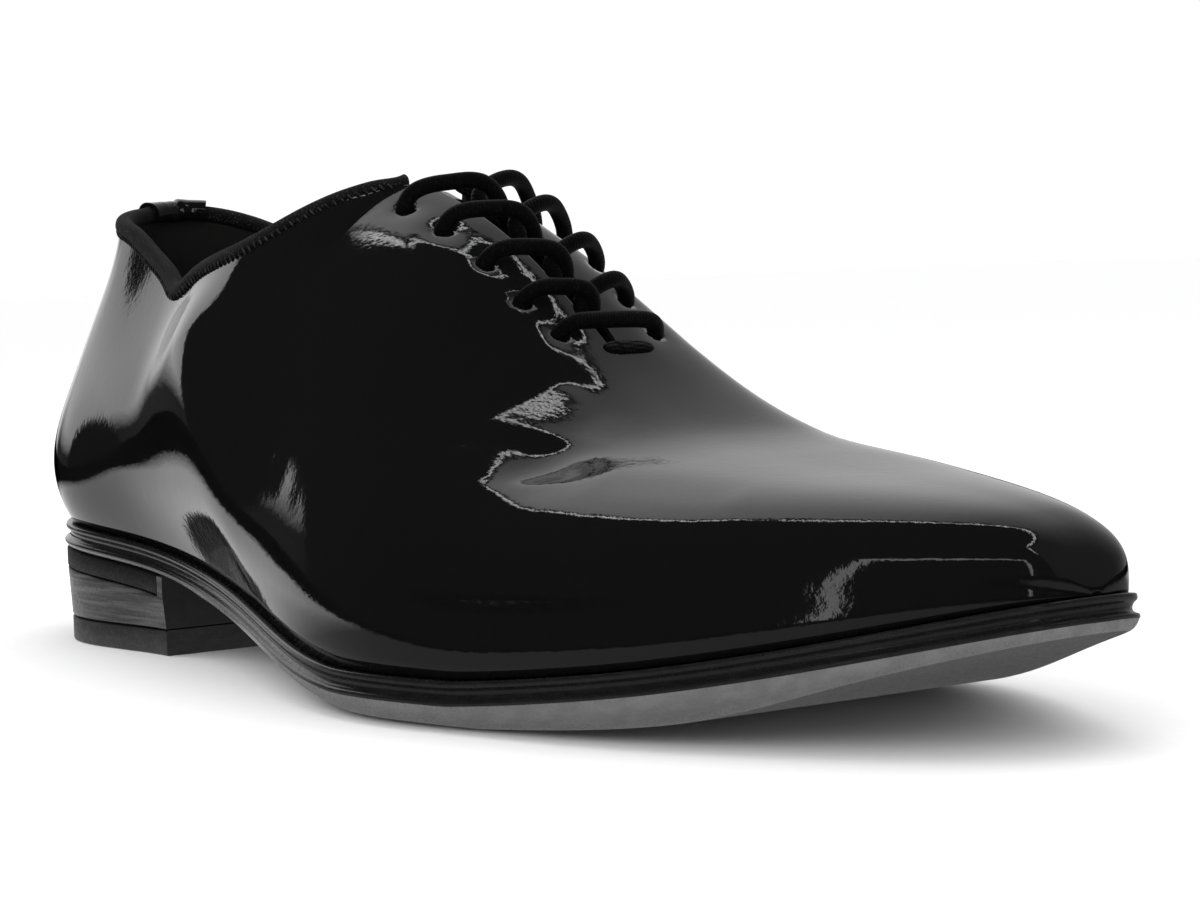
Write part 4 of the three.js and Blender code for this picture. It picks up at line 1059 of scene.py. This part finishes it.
def barKeys(side):
    # Half of the bar, from under the facing up through the last eyelet towards the ridge
    x, here = rowX[4], eyeletOffset(rowX[4], side)
    rise = ride + 0.1 * laceShape["arch"]
    keys = [(x, here + 0.6, -1.6), (x, here, 0.1), (x, here - 1.7, ride - 0.2), (x, here * 0.5, rise)]
    return turned(keys, side)


def makeLace():
    path = hiddenEnd(-1)
    for row, side in enumerate((-1, 1, -1, 1)):
        path += strandKeys(row, side)
    path += barKeys(-1) + [(rowX[4], 0, ride + 0.1 * laceShape["arch"])] + barKeys(1)[::-1]
    for row, side in ((3, -1), (2, 1), (1, -1), (0, 1)):
        path += strandKeys(row, side)[::-1]
    path = np.array(path + hiddenEnd(1)[::-1], float)
    points = onForm(path[:, 0], abs(path[:, 1]), np.where(path[:, 1] < 0, -1, 1), path[:, 2])[0]
    chord = runAlong(points, 0.6)
    fine = openCurve(chord, points)(np.linspace(0, chord[-1], 9000))
    run = runAlong(fine)
    print("lace runs", round(run[-1]), "mm")
    route = readAt(np.linspace(0, run[-1], int(run[-1] / laceShape["step"])), run, fine)
    forward = unit(np.gradient(route, axis=0))
    across = unit(np.array([1.0, 0, 0]) - forward * forward[:, :1])
    profile = ringProfile(laceShape["diameter"], laceShape["diameter"], 2, laceShape["sides"])
    rows = carryProfile(profile, route, across, np.cross(forward, across))
    piece = addPiece("lace_cord", rows, [looks["laceCord"]], uv=runUv(rows, 2 * math.pi * 4 / 4.5))
    piece.visible_glossy = False  # the vamp mirrors none of the lace in the photograph
    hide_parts("lace_row_1", "lace_row_2", "lace_row_3", "lace_row_4", "lace_bar")


tackShape = {"width": 3.4, "height": 1.8, "length": 11.5, "turns": 15, "toInner": 1.6, "behindThroat": 0.2}


def makeBarTack():
    x = shoe["throatAlong"] * length - tackShape["behindThroat"]
    share = np.linspace(-1, 1, 90)
    offset = share * tackShape["length"] / 2 + tackShape["toInner"]
    side = np.where(offset < 0, -1, 1)
    lift = gap + tackShape["height"] / 2
    centre, normal = onForm(x, abs(offset), side, lift)
    forward = unit(onForm(x + 1, abs(offset), side, lift)[0] - centre)
    size = np.sqrt(1 - 0.9 * share ** 4) * (1 + 0.035 * np.cos(share * math.pi * tackShape["turns"]))
    profile = ringProfile(tackShape["width"], tackShape["height"], 2.3, 28)
    rows = centre[:, None] + size[:, None, None] * overRoute(profile, forward, normal)
    tips = [np.repeat(ring.mean(0, keepdims=True), len(ring), 0)[None] for ring in (rows[0], rows[-1])]
    rows = np.concatenate([tips[0], rows, tips[1]])
    piece = addPiece("bar_tack_thread", rows, [looks["tackThread"]], uv=runUv(rows, 2 * math.pi))
    piece.visible_glossy = False
    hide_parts("throat_bar_tack")


makeLace()
makeBarTack()


# Sole, insole and heel: rings between the outline and its insets, closed across by pairs

soleShape = {
    # inset in millimetres, share of the edge band's height
    "band": [
        (0.6, 0), (0.3, 0.015), (0.08, 0.06), (0, 0.12), (0, 0.2), (0.12, 0.26), (0.5, 0.33), (0.82, 0.42),
        (0.92, 0.54), (0.8, 0.66), (0.3, 0.75), (-0.2, 0.8), (-0.4, 0.86), (-0.4, 0.94), (-0.22, 1),
    ],
    # share of the bevel's width, share of its depth
    "bevel": [(0.04, 0.14), (0.1, 0.3), (0.2, 0.5), (0.32, 0.66), (0.48, 0.82), (0.66, 0.92), (0.84, 0.98), (1, 1)],
    "across": 24,
}


def pairSheet(near, far, count):
    # Straight lines between facing points
    share = np.linspace(0, 1, count)[None, :, None]
    return near[:, None] * (1 - share) + far[:, None] * share


def pairSolid(rings, pairs, across):
    # rings: (levels, points, 3) from the upper face down; pairs: near and far point numbers
    near, far = rings[:, pairs[0]].transpose(1, 0, 2), rings[:, pairs[1]].transpose(1, 0, 2)
    top = pairSheet(near[:, 0], far[:, 0], across)[:, 1:-1]
    bottom = pairSheet(far[:, -1], near[:, -1], across)[:, 1:-1]
    return np.concatenate([near[:, ::-1], top, far, bottom, near[:, -1:]], 1)


def loopPairs(count):
    # Point numbers of a closed loop's near side and of the points that face them
    near = np.arange(count // 2 + 1)
    return near, (count - near) % count


def makeOutsole():
    outline = soleOutline(24)
    band = [(insetLoop(outline, inset), down) for inset, down in soleShape["band"]]
    rings = [np.column_stack([loop, soleTop(loop[:, 0]) - down * shoe["edgeHeight"]]) for loop, down in band]
    for inset, down in soleShape["bevel"]:
        width = np.maximum(shoe["bevelInset"] * inset * treadShare(outline[:, 0]), inset * 1.5) - 0.2 * (1 - inset)
        loop = insetLoop(outline, width)
        under = shoe["edgeHeight"] + (soleDepth(loop[:, 0]) - shoe["edgeHeight"]) * down
        rings.append(np.column_stack([loop, np.maximum(soleTop(loop[:, 0]) - under, 0)]))
    rows = pairSolid(np.array(rings), loopPairs(len(outline)), soleShape["across"])
    column = np.tile(np.arange(rows.shape[1] - 1), rows.shape[0] - 1)
    levels, inner = len(rings), soleShape["across"] - 2
    lower = len(soleShape["bevel"])
    bevel = (column < lower) | ((column >= 2 * levels + inner - lower - 1) & (column < 2 * levels + inner - 1))
    tread = column >= 2 * levels + inner - 1
    kinds = np.where(tread, 1, np.where(bevel, 2, 0))
    # the bevel's faces take a light grey that is a painted reflection of the floor
    finishes = [looks[name] for name in ("edgeInk", "treadFinish", "bevelFinish")]
    piece = addPiece("outsole_edge", rows, finishes, kinds=kinds)
    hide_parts("outsole")


# inset and height of the insole's rings over its own inset
insoleShape = {"clear": 1.2, "edge": [(0.9, 2.4), (0.35, 2.3), (0.05, 2.0), (0, 1.5), (0, 0.1), (0.2, 0)], "across": 30}


def makeInsole():
    outline = soleOutline(16)
    rings = []
    for inset, height in insoleShape["edge"]:
        loop = insetLoop(outline, shoe["margin"] + wall + insoleShape["clear"] + inset)
        rings.append(np.column_stack([loop, soleTop(loop[:, 0]) + gap + height]))
    rows = pairSolid(np.array(rings), loopPairs(len(outline)), insoleShape["across"])
    piece = addPiece("insole_sock", rows, [looks["liningLeather"]])
    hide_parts("insole")


heelShape = {
    "randHeight": 4.2, "randDepth": 3, "randSetback": 2.6, "randRound": 0.35, "topPieceHeight": 5.6, "taper": 0.7,
    "steps": 151, "groove": 0.5, "softEdge": 0.15, "across": 14,
}


def heelTop(x):
    return soleTop(x) - soleDepth(x) - gap


def heelArc(inset, frontX, places):
    # Stretch of the outline behind frontX, from the outer side round the back to the inner side; places are
    # millimetres from either end, with even steps between
    outline = insetLoop(soleOutline(60), inset)
    count = len(outline)
    near = outline[:count // 2][outline[:count // 2, 0] < frontX]
    far = outline[count // 2:][::-1]
    far = far[far[:, 0] < frontX]

    def front(line, other):
        a, b = line[-1], other
        share = (frontX - a[0]) / (b[0] - a[0])
        return [[frontX, a[1] + (b[1] - a[1]) * share]]

    nearEnd = front(near, outline[len(near)])
    farEnd = front(far, outline[::-1][len(far)])
    route = np.vstack([nearEnd, near[::-1], far, farEnd])
    run = runAlong(route)
    middle = np.linspace(places[-1], run[-1] - places[-1], heelShape["steps"] + 1)
    return readAt(np.concatenate([places[:-1], middle, run[-1] - np.array(places[:-1])[::-1]]), run, route)


def heelSolid(name, rings, materials, node, breast=0):
    rings = np.array(rings)
    count = rings.shape[1]
    half = np.arange((count + 1) // 2)
    rows = pairSolid(rings, (half, count - 1 - half), heelShape["across"])
    faces = gridFaces(*rows.shape[:2]).tolist()
    kinds = [0] * len(faces)
    columns = rows.shape[1] - 1
    faces.append(list(range(columns)))
    kinds.append(breast)
    if len(half) * 2 == count:
        last = (len(half) - 1) * (columns + 1)
        faces.append([last + k for k in range(columns)][::-1])
        kinds.append(0)
    piece = addPiece(name, rows, materials, faces, kinds, sharp=32)
    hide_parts(node)


def level(loop, height):
    return np.column_stack([loop, np.broadcast_to(height, len(loop))])


def makeHeel():
    front = shoe["heelLength"]
    rand, groove, taper, soft = (heelShape[key] for key in ("randHeight", "groove", "taper", "softEdge"))
    notch = heelShape["randSetback"] - gap
    corners = [0, notch / 2, notch, notch + 0.02]
    full, seat = (heelArc(inset, front, corners) for inset in (0, heelShape["randDepth"] + gap))
    seat[:3], seat[-3:] = full[:3], full[-3:]
    shoulder = heelTop(full[:, 0]) - rand - gap
    foot = heelShape["topPieceHeight"] + gap
    rings = [level(seat, heelTop(seat[:, 0])), level(seat, heelTop(seat[:, 0]) - rand - gap)]
    rings.append(level(heelArc(soft, front, corners), shoulder))
    for share in (0.02, 0.2, 0.4, 0.6, 0.8, 0.98):
        loop = heelArc(taper * (0.1 + 0.9 * share), front, corners)
        rings.append(level(loop, shoulder * (1 - share) + foot * share))
    rings.append(level(heelArc(taper + soft, front, corners), foot))
    stackLooks = [looks["stackFinish"], looks["breastFinish"]]
    heelSolid("heel_stack_layers", rings, stackLooks, "heel_stack", breast=1)

    # top piece: inset and height of its rings, from the upper face down
    top = foot - gap
    rings = [level(heelArc(taper + inset, front - soft * (inset > 0.1), [0]), height) for inset, height in (
        (groove + 0.1, top), (0.12, top - 0.25), (0, top - groove), (0, 2.4), (0, groove), (0.2, soft), (groove, 0),
    )]
    heelSolid("heel_top_piece_rubber", rings, [looks["topPieceRubber"]], "heel_top_piece")

    # rand: a strip with a rounded outer edge, set back from the heel's front
    turn = heelShape["randRound"]
    outer, inner, edge = (
        heelArc(inset, front - heelShape["randSetback"], [0]) for inset in (0, heelShape["randDepth"], turn)
    )
    outerTop, innerTop, edgeTop = (heelTop(loop[:, 0]) for loop in (outer, inner, edge))
    rows = np.stack([
        level(edge, edgeTop), level(outer, outerTop - turn), level(outer, outerTop - rand + turn),
        level(edge, edgeTop - rand), level(inner, innerTop - rand), level(inner, innerTop), level(edge, edgeTop),
    ], 1)
    columns = rows.shape[1]
    last = (len(rows) - 1) * columns
    ends = [list(range(columns - 1)), [last + k for k in range(columns - 1)][::-1]]
    faces = gridFaces(*rows.shape[:2]).tolist() + ends
    piece = addPiece("heel_rand_strip", rows, [looks["randFinish"]], faces, sharp=60)
    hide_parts("heel_rand")


makeOutsole()
makeInsole()
makeHeel()


# Floor, studio and camera

cameraView = {
    "azimuth": 55.1, "elevation": 3.85, "distance": 624.7, "roll": -1.72, "focal": 3065, "frameWidth": 1200,
    "sensor": 36, "target": (150, 0, 50), "right": 16.7, "up": -4.7,
}


def placeItem(name, data, axes, place):
    # axes: right, up and back; place in the shoe's millimetres
    item = bpy.data.objects.new(name, data)
    bpy.context.scene.collection.objects.link(item)
    matrix = np.eye(4)
    matrix[:3] = np.column_stack([*axes, (place - shift) / 1000])
    item.matrix_world = Matrix(matrix.tolist())
    return item


def makeCamera():
    a, e, r = (math.radians(cameraView[key]) for key in ("azimuth", "elevation", "roll"))
    back = np.array([math.sin(a) * math.cos(e), -math.cos(a) * math.cos(e), math.sin(e)])
    right = np.array([math.cos(a), math.sin(a), 0])
    up = np.cross(back, right)
    right, up = right * math.cos(r) + up * math.sin(r), up * math.cos(r) - right * math.sin(r)
    place = np.array(cameraView["target"]) + right * cameraView["right"] + up * cameraView["up"]
    data = bpy.data.cameras.new("photoCamera")
    data.sensor_fit = "HORIZONTAL"
    data.sensor_width = cameraView["sensor"]
    data.lens = cameraView["focal"] / cameraView["frameWidth"] * cameraView["sensor"]
    data.clip_start = 0.01
    data.clip_end = 50
    axes = (right, up, back)
    bpy.context.scene.camera = placeItem("photoCamera", data, axes, place + back * cameraView["distance"])


# Directions are in degrees round from +x and up from the floor; a range is where a strength begins and ends
studio = {
    "backdrop": 1.25, "backdropFar": 0.5, "front": 0.018, "strip": 5.0, "frame": 2.2, "toCamera": 1.05, "soft": 1.12,
    "planeAzimuth": 106.5, "planeTilt": 0.25, "planeOffset": -0.075, "planeEdge": (-0.008, 0.012),
    "top": (60, 63), "topRange": (100, 150), "topEdge": (-0.5, 1.0),
    "levelRange": (128, 172), "dimRange": (60, 112), "dim": 0.2, "highRange": (40, 75), "high": 0.8,
    "horizonRange": (3, 8), "foldRange": (168, 178), "horizonDrop": 0.97,
    "stripRise": (-0.05, -0.042), "stripFall": (-0.028, -0.02), "stripUp": (46, 52), "stripEnd": (-1.0, 0.0),
    "topRise": (-3.0, -2.6), "topFall": (-2.0, -1.6), "topStart": (-0.05, -0.02),
    "frameAround": (286, 353), "frameUp": (-10, 33), "insideAround": (288.5, 350), "insideUp": (-30, 30.5),
    "frameBlur": 0.8, "softUp": (-0.1, 0.3), "softLow": 0.5,
}


def makeWorld():
    world = bpy.data.worlds.new("studio")
    world.use_nodes = True
    tree = world.node_tree
    tree.nodes.clear()

    def calc(operation, *values):
        return mathNode(tree, operation, *values)

    def rising(value, key):
        return rangeNode(tree, value, *studio[key])

    def falling(value, key):
        return rangeNode(tree, value, *studio[key], 1, 0)

    def band(value, key):
        (low, high), blur = studio[key], studio["frameBlur"]
        return times(tree, rangeNode(tree, value, low - blur, low), rangeNode(tree, value, high, high + blur, 1, 0))

    def choose(test, yes, no):
        return addNode(tree, "ShaderNodeMix", {"Factor": test, "A": no, "B": yes}, data_type="FLOAT").outputs["Result"]

    given = addNode(tree, "ShaderNodeTexCoord").outputs["Generated"]
    direction = addNode(tree, "ShaderNodeVectorMath", {0: given}, operation="NORMALIZE").outputs["Vector"]
    split = addNode(tree, "ShaderNodeSeparateXYZ", {"Vector": direction})
    x, y, z = (split.outputs[key] for key in "XYZ")
    azimuth = times(tree, calc("ARCTAN2", y, x), 180 / math.pi)
    azimuth = calc("MODULO", calc("ADD", azimuth, 360), 360)
    elevation = times(tree, calc("ARCSINE", z), 180 / math.pi)
    # the bright backdrop lies past a leaning plane and under a top that rises to one side
    a = math.radians(studio["planeAzimuth"])
    behind = calc("MULTIPLY_ADD", y, math.sin(a), times(tree, x, math.cos(a)))
    past = calc("SUBTRACT", calc("MULTIPLY_ADD", z, -studio["planeTilt"], behind), studio["planeOffset"])
    underTop = calc("SUBTRACT", rangeNode(tree, azimuth, *studio["topRange"], *studio["top"]), elevation)
    lit = times(tree, rising(past, "planeEdge"), rising(underTop, "topEdge"))
    level = rangeNode(tree, azimuth, *studio["levelRange"], studio["backdropFar"], studio["backdrop"])
    dim = rangeNode(tree, azimuth, *studio["dimRange"], studio["dim"], 1)
    high = rangeNode(tree, elevation, *studio["highRange"], 1, studio["high"])
    # darker at the horizon on one side
    away = times(tree, calc("SUBTRACT", rising(elevation, "horizonRange"), 1), rising(azimuth, "foldRange"))
    backdrop = times(tree, lit, level, dim, high, calc("MULTIPLY_ADD", away, studio["horizonDrop"], 1))
    # thin bright strips along the backdrop's edge, high up, and along its top
    edgeBand = times(tree, rising(past, "stripRise"), falling(past, "stripFall"))
    highUp = times(tree, rising(elevation, "stripUp"), rising(underTop, "stripEnd"))
    topBand = times(tree, rising(underTop, "topRise"), falling(underTop, "topFall"), rising(past, "topStart"))
    strip = times(tree, calc("MAXIMUM", times(tree, edgeBand, highUp), topBand), studio["strip"])
    # thin frame of light round the dark front
    inFrame = times(tree, band(azimuth, "frameAround"), band(elevation, "frameUp"))
    inside = times(tree, band(azimuth, "insideAround"), band(elevation, "insideUp"))
    ring = times(tree, calc("SUBTRACT", inFrame, times(tree, inside, inFrame)), studio["frame"])
    mirrored = calc("ADD", calc("ADD", backdrop, strip), calc("ADD", ring, studio["front"]))
    soft = rangeNode(tree, z, *studio["softUp"], studio["softLow"] * studio["soft"], studio["soft"])
    ray = addNode(tree, "ShaderNodeLightPath").outputs
    strength = choose(ray["Is Camera Ray"], studio["toCamera"], choose(ray["Is Diffuse Ray"], soft, mirrored))
    background = addNode(tree, "ShaderNodeBackground", {"Color": (1, 1, 1, 1), "Strength": strength})
    addNode(tree, "ShaderNodeOutputWorld", {"Surface": background.outputs["Background"]})
    bpy.context.scene.world = world


floorLook = {
    "size": 6.0, "paper": (0.86, 0.9), "grain": 300, "mirrored": 0.3, "bright": 1.1, "reach": (0.34, 0.46),
    "leanX": -0.9, "leanY": 0.5, "leanRange": (0.0, 0.1),
}


def makeFloor():
    # Paper to the eye; to mirrored rays a glow that is brighter behind the heel and ends with the distance
    size = floorLook["size"]
    mesh = bpy.data.meshes.new("floor")
    mesh.from_pydata([(-size, -size, 0), (size, -size, 0), (size, size, 0), (-size, size, 0)], [], [(0, 1, 2, 3)])
    floor = bpy.data.objects.new("floor", mesh)
    bpy.context.scene.collection.objects.link(floor)
    material = bpy.data.materials.new("floorPaper")
    material.use_nodes = True
    tree = material.node_tree
    tree.nodes.clear()
    place = addNode(tree, "ShaderNodeTexCoord").outputs["Object"]
    split = addNode(tree, "ShaderNodeSeparateXYZ", {"Vector": place}).outputs
    distance = addNode(tree, "ShaderNodeVectorMath", {0: place}, operation="LENGTH").outputs["Value"]
    leanX = times(tree, split["X"], floorLook["leanX"])
    lean = mathNode(tree, "MULTIPLY_ADD", split["Y"], floorLook["leanY"], leanX)
    glow = rangeNode(tree, lean, *floorLook["leanRange"], floorLook["mirrored"], floorLook["bright"])
    close = rangeNode(tree, distance, *floorLook["reach"], 1, 0)
    emission = addNode(tree, "ShaderNodeEmission", {"Strength": times(tree, glow, close)}).outputs["Emission"]
    grain = noiseNode(tree, stretched(tree, place, (1, 1, 1)), floorLook["grain"])
    colour = mixColours(tree, grain, *((grey,) * 3 for grey in floorLook["paper"]))
    paper = addNode(tree, "ShaderNodeBsdfDiffuse", {"Color": colour}).outputs["BSDF"]
    toGlossy = addNode(tree, "ShaderNodeLightPath").outputs["Is Glossy Ray"]
    mix = addNode(tree, "ShaderNodeMixShader", {"Fac": toGlossy, 1: paper, 2: emission}).outputs["Shader"]
    addNode(tree, "ShaderNodeOutputMaterial", {"Surface": mix})
    mesh.materials.append(material)


# place and aim in the shoe's millimetres, size, watts
lights = {
    "overhead": {"place": (60, 200, 900), "aim": (150, 0, 30), "size": 900, "power": 2.5},
    "frontFill": {"place": (600, -700, 500), "aim": (150, 0, 40), "size": 500, "power": 1.2},
    "leftSide": {"place": (-600, -300, 400), "aim": (100, 0, 40), "size": 500, "power": 1.5},
}


def makeLights():
    for name, light in lights.items():
        data = bpy.data.lights.new(name, "AREA")
        data.shape = "SQUARE"
        data.size = light["size"] / 1000
        data.energy = light["power"]
        place, aim = (np.array(light[key], float) for key in ("place", "aim"))
        back = unit(place - aim)
        right = unit(np.cross(np.array([0.0, 0, 1]), back))
        placeItem(name, data, (right, np.cross(back, right), back), place).visible_glossy = False


makeCamera()
makeWorld()
makeFloor()
makeLights()
scene = bpy.context.scene
scene.view_settings.view_transform = "Standard"
scene.view_settings.look = "None"

print("all pieces placed")
